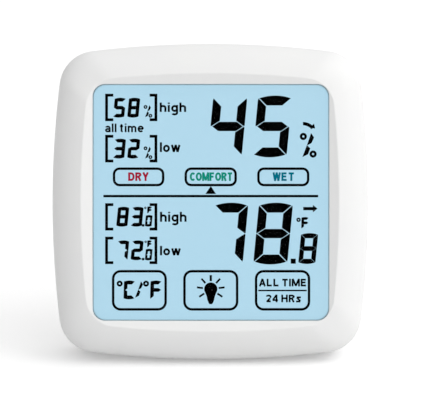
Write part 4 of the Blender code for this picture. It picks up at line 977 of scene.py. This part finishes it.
def clear_button_cap():
    """Push button on its stem: a flange that keeps it in, a round edge and a slightly dished top."""
    flange_rear = BUTTON_GUIDE_DEPTH - 2 * GAP
    flange_front = flange_rear - BUTTON_FLANGE_THICKNESS
    top = CASE_DEPTH - SINK
    rim_radius = BUTTON_RADIUS - BUTTON_ROUND
    profile = [(BUTTON_STEM_TIP, BUTTON_STEM_RADIUS), (flange_front, BUTTON_STEM_RADIUS),
               (flange_front, BUTTON_FLANGE_RADIUS), (flange_rear, BUTTON_FLANGE_RADIUS),
               (flange_rear, BUTTON_RADIUS)]
    for angle in quarter_turn(RIM_STEPS):
        depth = top - BUTTON_ROUND * (1 - math.sin(angle))
        profile.append((depth, rim_radius + BUTTON_ROUND * math.cos(angle)))
    for step in range(1, EDGE_STEPS):
        share = 1 - step / EDGE_STEPS
        profile.append((top - BUTTON_DISH * (1 - share ** 2), rim_radius * share))
    return turned("clear_button_cap", BUTTON_AT, profile)


def case_screw():
    """Pan-head screw with a cross recess, on the middle line of the face."""
    seat = WELL_FLOOR + GAP
    top = seat + HEAD_HEIGHT
    profile = [(WELL_FLOOR - SHANK_LENGTH, SHANK_RADIUS), (seat, SHANK_RADIUS), (seat, HEAD_RADIUS)]
    for angle in quarter_turn(EDGE_STEPS)[:-1]:
        rise = HEAD_RIM_SHARE + (1 - HEAD_RIM_SHARE) * math.sin(angle)
        profile.append((seat + HEAD_HEIGHT * rise, HEAD_RADIUS * math.cos(angle)))
    screw = turned("case_screw_model", (0.0, 0.0), profile)
    for half_x, half_z in ((CROSS_HALF_LENGTH, CROSS_HALF_WIDTH), (CROSS_HALF_WIDTH, CROSS_HALF_LENGTH)):
        slot = block((-half_x, top - CROSS_SINK, -half_z), (half_x, top + WALL, half_z))
        combine(screw, 'DIFFERENCE', [slot])
    return screw


def disc_magnet():
    """Plated disc with round edges, on the middle line of the face."""
    front = MAGNET_FLOOR + GAP
    rear = CASE_DEPTH - MAGNET_SINK
    profile = []
    for angle in quarter_turn(RIM_STEPS):
        depth = front + RIM * (1 - math.cos(angle))
        profile.append((depth, MAGNET_RADIUS - RIM * (1 - math.sin(angle))))
    profile.extend([(front + rear - depth, radius) for depth, radius in reversed(profile)])
    return turned("magnet_model", (0.0, 0.0), profile)


def copied(model, name, place):
    """Copy of a piece modelled on the middle line, with its own mesh, moved to an (x, z) place."""
    copy = model.copy()
    copy.data = model.data.copy()
    copy.name = name
    bpy.context.scene.collection.objects.link(copy)
    copy.matrix_world = Matrix.Translation((place[0], 0.0, place[1]))
    return copy


# Cells and springs; side is the one that the cell's nub points to
def cell_height(side):
    return BAY_MIDDLE + side * CELL_PITCH / 2


def cell_can(number, side):
    """Steel can with its nub, inside the jacket."""
    shoulder = CELL_NUB_END - CELL_NUB_LENGTH
    radius = CELL_RADIUS - 2 * CELL_JACKET
    profile = [(CELL_BOTTOM, radius - CELL_EDGE), (CELL_BOTTOM + CELL_EDGE / 2, radius - CELL_EDGE / 4),
               (CELL_BOTTOM + CELL_EDGE, radius), (shoulder - CELL_EDGE, radius),
               (shoulder - CELL_EDGE / 2, radius - CELL_EDGE / 4), (shoulder, radius - CELL_EDGE),
               (shoulder, CELL_NUB_RADIUS), (CELL_NUB_END - FINE_RIM, CELL_NUB_RADIUS),
               (CELL_NUB_END, CELL_NUB_RADIUS - FINE_RIM)]
    return turned_across("cell_can_%d" % number, CELL_AXIS, cell_height(side),
                         [(side * x, radius) for x, radius in profile])


def cell_sleeve(name, side, start, end):
    """Length of printed jacket, between two shares of the cell's own length from its flat end."""
    run = CELL_LENGTH - CELL_NUB_LENGTH - 2 * CELL_EDGE
    profile = []
    for share, radius in ((start, CELL_RADIUS - CELL_JACKET), (start, CELL_RADIUS),
                          (end, CELL_RADIUS), (end, CELL_RADIUS - CELL_JACKET)):
        profile.append((side * (CELL_BOTTOM + CELL_EDGE + run * share), radius))
    return turned_across(name, CELL_AXIS, cell_height(side), profile, 'JOINED')


def cell_spring(number, side):
    """Conical spring of one wire, between a cell's flat end and its contact plate."""
    run = SPRING_LENGTH - 2 * SPRING_WIRE_RADIUS
    count = SPRING_CURLS * SPRING_CURL_STEPS
    curve = bpy.data.curves.new("cell_spring_%d" % number, 'CURVE')
    curve.dimensions = '3D'
    curve.bevel_depth = SPRING_WIRE_RADIUS
    curve.use_fill_caps = True
    wire = curve.splines.new('POLY')
    wire.points.add(count)
    for step, point in enumerate(wire.points):
        share = step / count
        angle = 2 * math.pi * SPRING_CURLS * share
        radius = SPRING_TIP_RADIUS + (SPRING_BASE_RADIUS - SPRING_TIP_RADIUS) * share
        along = side * (CELL_BOTTOM - GAP - SPRING_WIRE_RADIUS - run * share)
        up = cell_height(side) + radius * math.sin(angle)
        point.co = (along, CELL_AXIS + radius * math.cos(angle), up, 1.0)
    spring = bpy.data.objects.new("cell_spring_%d" % number, curve)
    bpy.context.scene.collection.objects.link(spring)
    select_only(spring)
    bpy.ops.object.convert(target='MESH')
    bpy.ops.object.mode_set(mode='EDIT')
    bpy.ops.mesh.select_all(action='SELECT')
    bpy.ops.mesh.remove_doubles(threshold=WELD_DISTANCE)
    bpy.ops.mesh.normals_make_consistent(inside=False)
    bpy.ops.object.mode_set(mode='OBJECT')
    return bpy.context.object


# Display signs, with outlines in millimetres
def sign_ring(points, depth):
    return level_ring(placed(points, 0.0, 0.0, MM), depth)


def plate(points):
    """Thin closed sign with this outline."""
    return skin("sign", [sign_ring(points, SIGN_FRONT), sign_ring(points, SIGN_REAR)])


def hollow_plate(outer, inner):
    """Thin closed sign between two outlines of as many points."""
    rings = [sign_ring(outer, SIGN_FRONT), sign_ring(inner, SIGN_FRONT),
             sign_ring(inner, SIGN_REAR), sign_ring(outer, SIGN_REAR)]
    return skin("sign", rings, 'JOINED')


def flip_x(points):
    return [(-x, z) for x, z in points]


def flip_z(points):
    return [(x, -z) for x, z in points]


def ring_sign(x, z, radius):
    """Small ring, as in a percent or degree sign."""
    hole = radius * (1 - RING_STROKE)
    return hollow_plate(circle(x, z, radius, SIGN_ROUND_STEPS), circle(x, z, hole, SIGN_ROUND_STEPS))


def frame_sign(left, right, top, bottom, radius):
    """Line round a pill or a touch key."""
    outer = rounded_rectangle((left, bottom), (right, top), radius)
    inner = rounded_rectangle((left + FRAME_STROKE, bottom + FRAME_STROKE),
                              (right - FRAME_STROKE, top - FRAME_STROKE), radius - FRAME_STROKE)
    return hollow_plate(outer, inner)


def segment_shapes():
    """Outlines of the seven segments, in widths of the digit, upright and about its middle."""
    top = []
    for step in range(-CROWN_STEPS, CROWN_STEPS + 1):
        share = step / CROWN_STEPS
        top.append((DIGIT_CROWN * share, DIGIT_RISE + DIGIT_BOW * (1 - share ** 2)))
    top.extend(TOP_SEGMENT_INSIDE)
    right_side = flip_x(SIDE_SEGMENT)
    return {"a": top, "b": right_side, "c": flip_z(right_side), "d": flip_z(top),
            "e": flip_z(SIDE_SEGMENT), "f": SIDE_SEGMENT, "g": MIDDLE_SEGMENT}


def swollen(points, amount):
    """A convex outline grown by an even amount, its sharp tips kept short."""
    places = [Vector(point) for point in points]
    middle = sum(places, Vector((0.0, 0.0))) / len(places)
    grown = []
    for index, place in enumerate(places):
        sides = []
        for near, far in ((places[index - 1], place), (place, places[(index + 1) % len(places)])):
            side = Vector((far.y - near.y, near.x - far.x)).normalized()
            sides.append(side if side.dot(place - middle) > 0 else -side)
        out = (sides[0] + sides[1]) / (1 + sides[0].dot(sides[1]))
        if out.length > SWELL_REACH:
            out *= SWELL_REACH / out.length
        grown.append(tuple(place + out * amount))
    return grown


def digit(character, width, swell, x, z):
    """Slanted seven-segment character; the letters of the units stand more upright."""
    shapes = segment_shapes()
    slant = DIGIT_SLANT if character.isdigit() else UNIT_SLANT
    signs = []
    for segment in SEGMENTS_OF[character]:
        slanted = [(across + up * slant, up) for across, up in shapes[segment]]
        signs.append(plate(swollen(placed(slanted, x, z, width), swell)))
    return signs


def slash(x, z, size):
    """Stroke of two blades, as in a percent sign."""
    return [plate(swollen(placed(blade, x, z, size), size * FINE_SWELL)) for blade in SLASH_BLADES]


def percent(x, z, size):
    """Slash with a ring above it on the left and one below it on the right."""
    across, up = [part * size for part in PERCENT_RING_AT]
    radius = PERCENT_RING_RADIUS * size + BIG_SWELL
    rings = [ring_sign(x - across, z + up, radius), ring_sign(x + across, z - up, radius)]
    return slash(x, z, size) + rings


def bracket(back, tip, top, bottom):
    """Square bracket whose spine is at one side."""
    inward = math.copysign(BRACKET_STROKE, tip - back)
    return plate([(back, bottom), (tip, bottom), (tip, bottom + BRACKET_STROKE),
                  (back + inward, bottom + BRACKET_STROKE), (back + inward, top - BRACKET_STROKE),
                  (tip, top - BRACKET_STROKE), (tip, top), (back, top)])


def bar(start, end, stroke):
    """Straight stroke between two places."""
    along = Vector(end) - Vector(start)
    side = Vector((-along.y, along.x)).normalized() * stroke / 2
    corners = (Vector(start) - side, Vector(end) - side, Vector(end) + side, Vector(start) + side)
    return plate([tuple(corner) for corner in corners])


def letter_stroke(stroke, left, baseline, wide, tall, weight):
    """One stroke of a letter. A bar runs between its ends, and a level one at the foot or the top of a
    capital keeps inside its height. A band runs along an elliptic arc, whose radius is taken to the middle
    of the band across and to its outer edge upwards."""
    half = weight / 2
    if len(stroke) == 2:
        (start_x, start_z), (end_x, end_z) = stroke
        shift = 0.0
        if start_z == end_z:
            shift = {0.0: half, 1.0: -half}.get(start_z, 0.0)
        return bar((left + start_x * wide, baseline + start_z * tall + shift),
                   (left + end_x * wide, baseline + end_z * tall + shift), weight)
    x, z, radius_x, radius_z, start, end = stroke
    edges = []
    for inset in (0.0, weight):
        reach_x = radius_x * wide + half - inset
        reach_z = radius_z * tall - inset
        edges.append([(left + x * wide + reach_x * across, baseline + z * tall + reach_z * up)
                      for across, up in arc(0.0, 0.0, 1.0, start, end, SIGN_ROUND_STEPS)])
    outer, inner = edges
    if abs(end - start) == FULL_TURN:
        return hollow_plate(outer[:-1], inner[:-1])
    return plate(outer + inner[::-1])


def word(text, box, weight):
    """Plain lettering between a left and a right end, from a baseline up to the height of a capital."""
    left, right, top, baseline = box
    tall = top - baseline
    spaces = LETTER_SPACE * (len(text) - 1)
    natural = sum(LETTERS[letter][0] for letter in text) + spaces
    wide = (right - left - weight) / natural
    signs = []
    at = left + weight / 2
    for letter in text:
        width, strokes = LETTERS[letter]
        signs.extend(letter_stroke(stroke, at, baseline, wide, tall, weight) for stroke in strokes)
        at += (width + LETTER_SPACE) * wide
    return signs


def bulb(x, z):
    """Light key's lamp: a round glass tapering to its cap, and seven rays."""
    glass = arc(x, z, BULB_RADIUS, *BULB_ARC, SIGN_ROUND_STEPS)
    cap = BULB_CAP + flip_x(BULB_CAP)[::-1]
    signs = [plate(glass + placed(cap, x, z))]
    for angle, stroke in RAYS:
        out = Vector((math.cos(math.radians(angle)), math.sin(math.radians(angle))))
        start, end = [Vector((x, z)) + out * reach for reach in RAY_ENDS]
        signs.append(bar(start, end, stroke))
    return signs


def arrow_along(x, z):
    """Straight arrow for a steady reading."""
    shaft = bar((x, z), (x + STEADY_LENGTH, z), STEADY_STROKE)
    return [shaft, plate(placed(STEADY_HEAD, x, z))]


def arrow_down(x, z):
    """Curved arrow for a falling reading."""
    upper, lower = [arc(x, z - FALLING_DROP, radius, *FALLING_ARC, SMALL_CORNER_STEPS)
                    for radius in FALLING_RADII]
    return [plate(upper + lower[::-1]), plate(placed(FALLING_HEAD, x, z))]


def display_readings():
    """All the black signs: readings, their frames, the words and the three touch keys."""
    signs = []
    for top, bottom in BRACKET_ROWS:
        signs.append(bracket(*BRACKET_LEFT, top, bottom))
        signs.append(bracket(*BRACKET_RIGHT, top, bottom))
    for characters, width, swell, pitch, x, z in READINGS:
        for number, character in enumerate(characters):
            signs.extend(digit(character, width, swell, x + number * pitch, z))
    for x, z, size in PERCENT_SIGNS:
        signs.extend(percent(x, z, size))
    for x, z, radius in DEGREE_SIGNS:
        signs.append(ring_sign(x, z, radius))
    for x, z, half in POINTS:
        signs.append(bar((x - half, z), (x + half, z), 2 * half))
    for left, right in PILLS:
        signs.append(frame_sign(left, right, PILL_TOP, PILL_BOTTOM, PILL_RADIUS))
    for left, right in KEYS:
        signs.append(frame_sign(left, right, KEY_TOP, KEY_BOTTOM, KEY_RADIUS))
    signs.append(plate(POINTER))
    signs.append(bar(*DIVIDER, DIVIDER_STROKE))
    signs.append(bar(*KEY_LINE, KEY_LINE_STROKE))
    signs.extend(slash(*KEY_SLASH))
    signs.extend(bulb(*BULB_AT))
    signs.extend(arrow_down(*FALLING_AT))
    signs.extend(arrow_along(*STEADY_AT))
    for text, box in WORDS:
        signs.extend(word(text, box, WORD_STROKE))
    for text, box in FINE_WORDS:
        signs.extend(word(text, box, FINE_WORD_STROKE))
    return join("display_readings", signs)


# Camera
def make_camera():
    """Camera square on to the face, with the case where the photograph has it."""
    offset_x = (PICTURE_MIDDLE_PIXEL[0] - CASE_MIDDLE_PIXEL[0]) * PICTURE_PIXEL
    offset_z = (CASE_MIDDLE_PIXEL[1] - PICTURE_MIDDLE_PIXEL[1]) * PICTURE_PIXEL
    data = bpy.data.cameras.new("photo_camera")
    data.sensor_fit = 'HORIZONTAL'
    data.sensor_width = SENSOR_WIDTH
    data.lens = SENSOR_WIDTH * CAMERA_DISTANCE / (PICTURE_WIDTH * PICTURE_PIXEL)
    camera = bpy.data.objects.new("photo_camera", data)
    bpy.context.scene.collection.objects.link(camera)
    place = Matrix.Translation((offset_x, GIRTH_DEPTH - CAMERA_DISTANCE, offset_z))
    camera.matrix_world = DEVICE @ place @ Matrix.Rotation(math.pi / 2, 4, 'X')
    bpy.context.scene.camera = camera


# Materials
def linear(code):
    """Linear colour of an sRGB hex value."""
    shares = [int(code[at:at + 2], 16) / 255 for at in (0, 2, 4)]
    lights = [share / 12.92 if share <= 0.04045 else ((share + 0.055) / 1.055) ** 2.4 for share in shares]
    return (*lights, 1.0)


def add_node(tree, kind, settings=(), inputs=()):
    """Add a node; settings are its attributes, inputs are values or sockets to link from."""
    made = tree.nodes.new(kind)
    for name, value in dict(settings).items():
        setattr(made, name, value)
    for name, value in dict(inputs).items():
        if isinstance(value, bpy.types.NodeSocket):
            tree.links.new(value, made.inputs[name])
        else:
            made.inputs[name].default_value = value
    return made


def plain_material(name, colour, roughness, values=()):
    """Material with plain values on its shader's own sockets."""
    material = bpy.data.materials.new(name)
    material.use_nodes = True
    sockets = material.node_tree.nodes["Principled BSDF"].inputs
    sockets["Base Color"].default_value = linear(colour)
    sockets["Roughness"].default_value = roughness
    for socket, value in dict(values).items():
        sockets[socket].default_value = value
    return material


def follow_pattern(material, pattern, tones=(), gloss=(), grain=(), entry="Base Color"):
    """Let a pattern blend two tones, change the roughness from smooth to dull, and raise a grain that is
    given by its strength and height."""
    tree = material.node_tree
    sockets = tree.nodes["Principled BSDF"].inputs
    if tones:
        first, second = tones
        blend = add_node(tree, 'ShaderNodeMix', {"data_type": 'RGBA'},
                         {"Factor": pattern, "A": linear(first), "B": linear(second)})
        tree.links.new(blend.outputs["Result"], sockets[entry])
    if gloss:
        smooth, dull = gloss
        sheen = add_node(tree, 'ShaderNodeMapRange', {}, {"Value": pattern, "To Min": smooth, "To Max": dull})
        tree.links.new(sheen.outputs["Result"], sockets["Roughness"])
    if grain:
        strength, height = grain
        bump = add_node(tree, 'ShaderNodeBump', {},
                        {"Height": pattern, "Strength": strength, "Distance": height})
        tree.links.new(bump.outputs["Normal"], sockets["Normal"])


def add_clouds(material, size, stretch=(1.0, 1.0, 1.0), **changes):
    """Noise with features of a real size, drawn out along the axes whose stretch is small, that changes the
    tones, the gloss or the grain of a material."""
    tree = material.node_tree
    place = add_node(tree, 'ShaderNodeTexCoord').outputs["Object"]
    drawn = add_node(tree, 'ShaderNodeMapping', {}, {"Vector": place, "Scale": stretch})
    noise = add_node(tree, 'ShaderNodeTexNoise', {},
                     {"Vector": drawn.outputs["Vector"], "Scale": 1 / size, "Detail": NOISE_DETAIL})
    follow_pattern(material, noise.outputs["Fac"], **changes)


def white_moulded_abs():
    """White ABS from a spark-eroded mould: a soft satin sheen and a very fine pebble grain.
    The real grain is about 0.1 mm; it is drawn 0.7 mm so that it can be seen."""
    material = plain_material("white_moulded_abs", "ECECEC", roughness=0.42)
    add_clouds(material, size=18.0 * MM, tones=("EAEAEB", "EEEEEC"), gloss=(0.36, 0.48))
    add_clouds(material, size=0.7 * MM, grain=(0.06, 0.05 * MM))
    return material


def clear_sheet(name, colour, index, reflection):
    """See-through plate, with its index of refraction and the level of its reflections."""
    material = plain_material(name, colour, roughness=0.02, values={
        "Transmission Weight": 1.0, "IOR": index, "Specular IOR Level": reflection})
    add_clouds(material, size=25.0 * MM, gloss=(0.0, 0.04))
    return material


def clear_moulded_acrylic():
    """Window plate with a coated front: see-through, and the coat leaves little of acrylic's reflection."""
    return clear_sheet("clear_moulded_acrylic", "FDFEFE", index=1.05, reflection=0.05)


def plain_moulded_styrene():
    """Tray and reflector inside: plain white styrene with a dull, slightly cloudy surface."""
    material = plain_material("plain_moulded_styrene", "E2E1DC", roughness=0.55)
    add_clouds(material, size=9.0 * MM, tones=("DDDCD7", "E8E7E3"), gloss=(0.48, 0.62))
    return material


def cast_lamp_resin():
    """Backlight lamps: pale blue white resin with a waxy gloss."""
    material = plain_material("cast_lamp_resin", "E6EEF2", roughness=0.3)
    add_clouds(material, size=0.8 * MM, tones=("DCE7EE", "EFF4F6"), gloss=(0.22, 0.4))
    return material


def striped_contact_rubber():
    """Display contact strip: layers of pale silicone and black carbon silicone, 0.2 mm in the real strip
    and drawn 0.8 mm so that they can be seen."""
    layer_pair = 0.8 * MM
    material = plain_material("striped_contact_rubber", "6A6A6C", roughness=0.6)
    tree = material.node_tree
    place = add_node(tree, 'ShaderNodeTexCoord').outputs["Object"]
    layers = add_node(tree, 'ShaderNodeTexWave', {"bands_direction": 'X'},
                      {"Vector": place, "Scale": WAVE_LENGTH / layer_pair})
    follow_pattern(material, layers.outputs["Fac"], tones=("17181A", "A9ABAE"))
    add_clouds(material, size=0.5 * MM, gloss=(0.5, 0.7))
    return material


def green_solder_resist():
    """Circuit board: glossy green resist, brighter where it lies over copper tracks 1.6 mm apart."""
    pitch = 1.6 * MM
    material = plain_material("green_solder_resist", "1E6B3C", roughness=0.35)
    tree = material.node_tree
    place = add_node(tree, 'ShaderNodeTexCoord').outputs["Object"]
    tracks = add_node(tree, 'ShaderNodeTexBrick', {},
                      {"Vector": place, "Scale": 1.0, "Brick Width": 9 * pitch, "Row Height": pitch,
                       "Mortar Size": pitch / 5, "Mortar Smooth": 0.2})
    follow_pattern(material, tracks.outputs["Fac"], tones=("185A32", "35894F"), grain=(0.3, 0.03 * MM))
    add_clouds(material, size=3.0 * MM, gloss=(0.26, 0.42))
    return material


def black_moulded_resin():
    """Chip blob, sensor and switch: black filled epoxy, dull and slightly grainy."""
    material = plain_material("black_moulded_resin", "17181A", roughness=0.5)
    add_clouds(material, size=0.4 * MM, tones=("121315", "222426"), gloss=(0.42, 0.62),
               grain=(0.12, 0.03 * MM))
    return material


def lit_display_film():
    """Display field lit from behind: pale blue, with the slight clouds of a diffuser."""
    material = plain_material("lit_display_film", "20303A", roughness=0.5, values={"Emission Strength": 0.92})
    add_clouds(material, size=25.0 * MM, tones=("B0D9ED", "B5DBED"), entry="Emission Color")
    add_clouds(material, size=6.0 * MM, gloss=(0.45, 0.55))
    return material


def border_glass_painted_shade():
    """Unlit glass round the field: blue grey, a little uneven in tone and gloss; its darker blue grey is
    painted shade, the shadow line along the window's edge, on top of the real shade of the wall.
    """
    material = plain_material("border_glass_painted_shade", "B0C5CC", roughness=0.3)
    add_clouds(material, size=8.0 * MM, tones=("AABFC6", "B6CBD2"), gloss=(0.24, 0.36))
    return material


def black_display_ink():
    """Switched display segments: dull and nearly black, with the faint clouds of a liquid crystal."""
    material = plain_material("black_display_ink", "030304", roughness=0.6, values={
        "Specular IOR Level": 0.0})
    add_clouds(material, size=2.0 * MM, tones=("020203", "050506"))
    return material


def coloured_display_ink(name, tones):
    """Coloured filter print in front of the backlight: dark by itself, it glows in an uneven film of ink."""
    material = plain_material(name + "_ink", "020202", roughness=0.6, values={
        "Emission Strength": 1.0, "Specular IOR Level": 0.0})
    add_clouds(material, size=1.5 * MM, tones=tones, entry="Emission Color")
    return material


def nickel_plated_steel():
    """Bright nickel on rolled steel: mirror-like, with faint rolling lines that spread the gloss."""
    material = plain_material("nickel_plated_steel", "C9C6BF", roughness=0.24, values={"Metallic": 1.0})
    add_clouds(material, size=0.25 * MM, stretch=(0.1, 1.0, 1.0), gloss=(0.16, 0.34))
    return material


def nickel_plated_magnet():
    """Nickel over a pressed magnet: a duller grey metal with a fine grained surface."""
    material = plain_material("nickel_plated_magnet", "B4B3B1", roughness=0.36, values={"Metallic": 1.0})
    add_clouds(material, size=0.5 * MM, tones=("A9A8A6", "BDBCBA"), gloss=(0.28, 0.46),
               grain=(0.1, 0.02 * MM))
    return material


def printed_cell_jacket(name, colour):
    """Printed film shrunk on a cell: even ink under a soft gloss, with slight shrink waves."""
    material = plain_material(name, colour, roughness=0.3)
    add_clouds(material, size=4.0 * MM, gloss=(0.24, 0.38), grain=(0.15, 0.05 * MM))
    return material


# Light and floor
def seen_directly(tree):
    """1 for rays from the camera, or by way of gloss or glass, and 0 for the rest."""
    path = add_node(tree, 'ShaderNodeLightPath')
    sharp = add_node(tree, 'ShaderNodeMath', {"operation": 'MAXIMUM'},
                     {0: path.outputs["Is Camera Ray"], 1: path.outputs["Is Glossy Ray"]})
    seen = add_node(tree, 'ShaderNodeMath', {"operation": 'MAXIMUM'},
                    {0: sharp.outputs["Value"], 1: path.outputs["Is Transmission Ray"]})
    return seen.outputs["Value"]


def make_floor():
    """Pale floor: a part of its white is its own, so that it stays white and keeps a soft shadow."""
    bpy.ops.object.select_all(action='DESELECT')
    bpy.ops.mesh.primitive_plane_add(size=FLOOR_SIZE)
    floor = bpy.context.object
    floor.name = "studio_floor"
    material = bpy.data.materials.new("studio_floor_paint")
    material.use_nodes = True
    tree = material.node_tree
    tree.nodes.remove(tree.nodes["Principled BSDF"])
    paint = add_node(tree, 'ShaderNodeBsdfDiffuse', {}, {"Color": linear("E6E6E6")})
    strength = add_node(tree, 'ShaderNodeMath', {"operation": 'MULTIPLY'},
                        {0: seen_directly(tree), 1: FLOOR_GLOW})
    glow = add_node(tree, 'ShaderNodeEmission', {}, {"Strength": strength.outputs["Value"]})
    both = add_node(tree, 'ShaderNodeAddShader', {}, {0: paint.outputs["BSDF"], 1: glow.outputs["Emission"]})
    tree.links.new(both.outputs["Shader"], tree.nodes["Material Output"].inputs["Surface"])
    floor.data.materials.append(material)


def make_world():
    """Soft surround, a little brighter from the upper right, and plain white where it is seen."""
    world = bpy.data.worlds.new("studio")
    bpy.context.scene.world = world
    world.use_nodes = True
    tree = world.node_tree
    towards = add_node(tree, 'ShaderNodeTexCoord').outputs["Generated"]
    slope = TILT.to_3x3() @ Vector(SURROUND_SLOPE)
    rise = add_node(tree, 'ShaderNodeVectorMath', {"operation": 'DOT_PRODUCT'}, {0: towards, 1: slope})
    level = add_node(tree, 'ShaderNodeMath', {"operation": 'ADD'},
                     {0: rise.outputs["Value"], 1: SURROUND_LEVEL})
    strength = add_node(tree, 'ShaderNodeMapRange', {},
                        {"Value": seen_directly(tree), "To Min": level.outputs["Value"], "To Max": 1.0})
    tree.links.new(strength.outputs["Result"], tree.nodes["Background"].inputs["Strength"])
    tree.nodes["Background"].inputs["Color"].default_value = (1.0, 1.0, 1.0, 1.0)


def make_sun():
    """Soft sun shining from a direction given in the device frame."""
    data = bpy.data.lights.new("key_sun", 'SUN')
    data.energy = SUN_STRENGTH
    data.angle = SUN_ANGLE
    sun = bpy.data.objects.new("key_sun", data)
    bpy.context.scene.collection.objects.link(sun)
    aim = TILT.to_3x3() @ Vector(SUN_TOWARDS)
    sun.rotation_euler = aim.to_track_quat('Z', 'Y').to_euler()


# Build
ABS = white_moulded_abs()
settle(front_case_shell(), "case", "case_white", ABS, "front_case")
settle(rear_case_shell(), "case", "case_white", ABS, "rear_case")
settle(battery_door_panel(), "battery_door", "case_white", ABS, "battery_door")
settle(stand_leg(), "stand", "case_white", ABS, "stand")
settle(clear_button_cap(), "clear_button", "case_white", ABS, "clear_button")
STEEL = nickel_plated_steel()
screw_model = case_screw()
for number, place in enumerate(SCREW_PLACES, start=1):
    name = "case_screw_%d" % number
    settle(copied(screw_model, name + "_head", place), "case", "plated_steel", STEEL, name)
bpy.data.objects.remove(screw_model, do_unlink=True)
MAGNET = nickel_plated_magnet()
magnet_model = disc_magnet()
for name, place in zip(("magnet_left", "magnet_right"), MAGNET_PLACES):
    settle(copied(magnet_model, name + "_disc", place), "case", "magnet_nickel", MAGNET, name)
bpy.data.objects.remove(magnet_model, do_unlink=True)
JACKET = printed_cell_jacket("dark_cell_jacket", "3C444C")
BAND = printed_cell_jacket("pale_cell_band", "B9C2C8")
for number, side in ((1, 1), (2, -1)):
    cell = "battery_%d" % number
    settle(cell_can(number, side), "case", "plated_steel", STEEL, cell)
    settle(cell_sleeve("cell_jacket_%d" % number, side, 0.0, BAND_START), "case", "cell_jacket", JACKET, cell)
    settle(cell_sleeve("cell_band_%d" % number, side, BAND_START, 1.0), "case", "cell_jacket", BAND, cell)
    settle(cell_spring(number, side), "case", "plated_steel", STEEL, "battery_spring_%d" % number)
settle(display_window(), "case", "window", clear_moulded_acrylic(), "display_lens", "touch_film")
# The display glass's border colour is painted shade: the shadow line round the window
settle(display_glass(), "case", "display", border_glass_painted_shade(), "lcd_front_glass")
settle(lit_field(), "case", "display", lit_display_film())
settle(display_readings(), "case", "display", black_display_ink())
for name, text, box, tones in COLOUR_WORDS:
    settle(join(name, word(text, box, BOLD_STROKE)), "case", "display", coloured_display_ink(name, tones))
STYRENE = plain_moulded_styrene()
LAMP = cast_lamp_resin()
RUBBER = striped_contact_rubber()
RESIN = black_moulded_resin()
INNER_FINISHES = {
    "lcd_frame": STYRENE, "reflector_sheet": STYRENE, "backlight_led_left": LAMP, "backlight_led_right": LAMP,
    "lcd_rear_glass": clear_sheet("display_rear_glass", "EAF3F3", index=1.45, reflection=0.5),
    "light_guide": clear_sheet("clear_light_guide", "F6FBFC", index=1.45, reflection=0.5),
    "zebra_strip_top": RUBBER, "zebra_strip_bottom": RUBBER, "circuit_board": green_solder_resist(),
    "controller_chip": RESIN, "humidity_sensor": RESIN, "clear_switch": RESIN,
}
for name, node in frame["nodes"].items():
    node.data.materials.clear()
    node.data.materials.append(INNER_FINISHES.get(name, STEEL))

make_camera()
make_world()
make_floor()
make_sun()
bpy.context.scene.view_settings.view_transform = 'Standard'
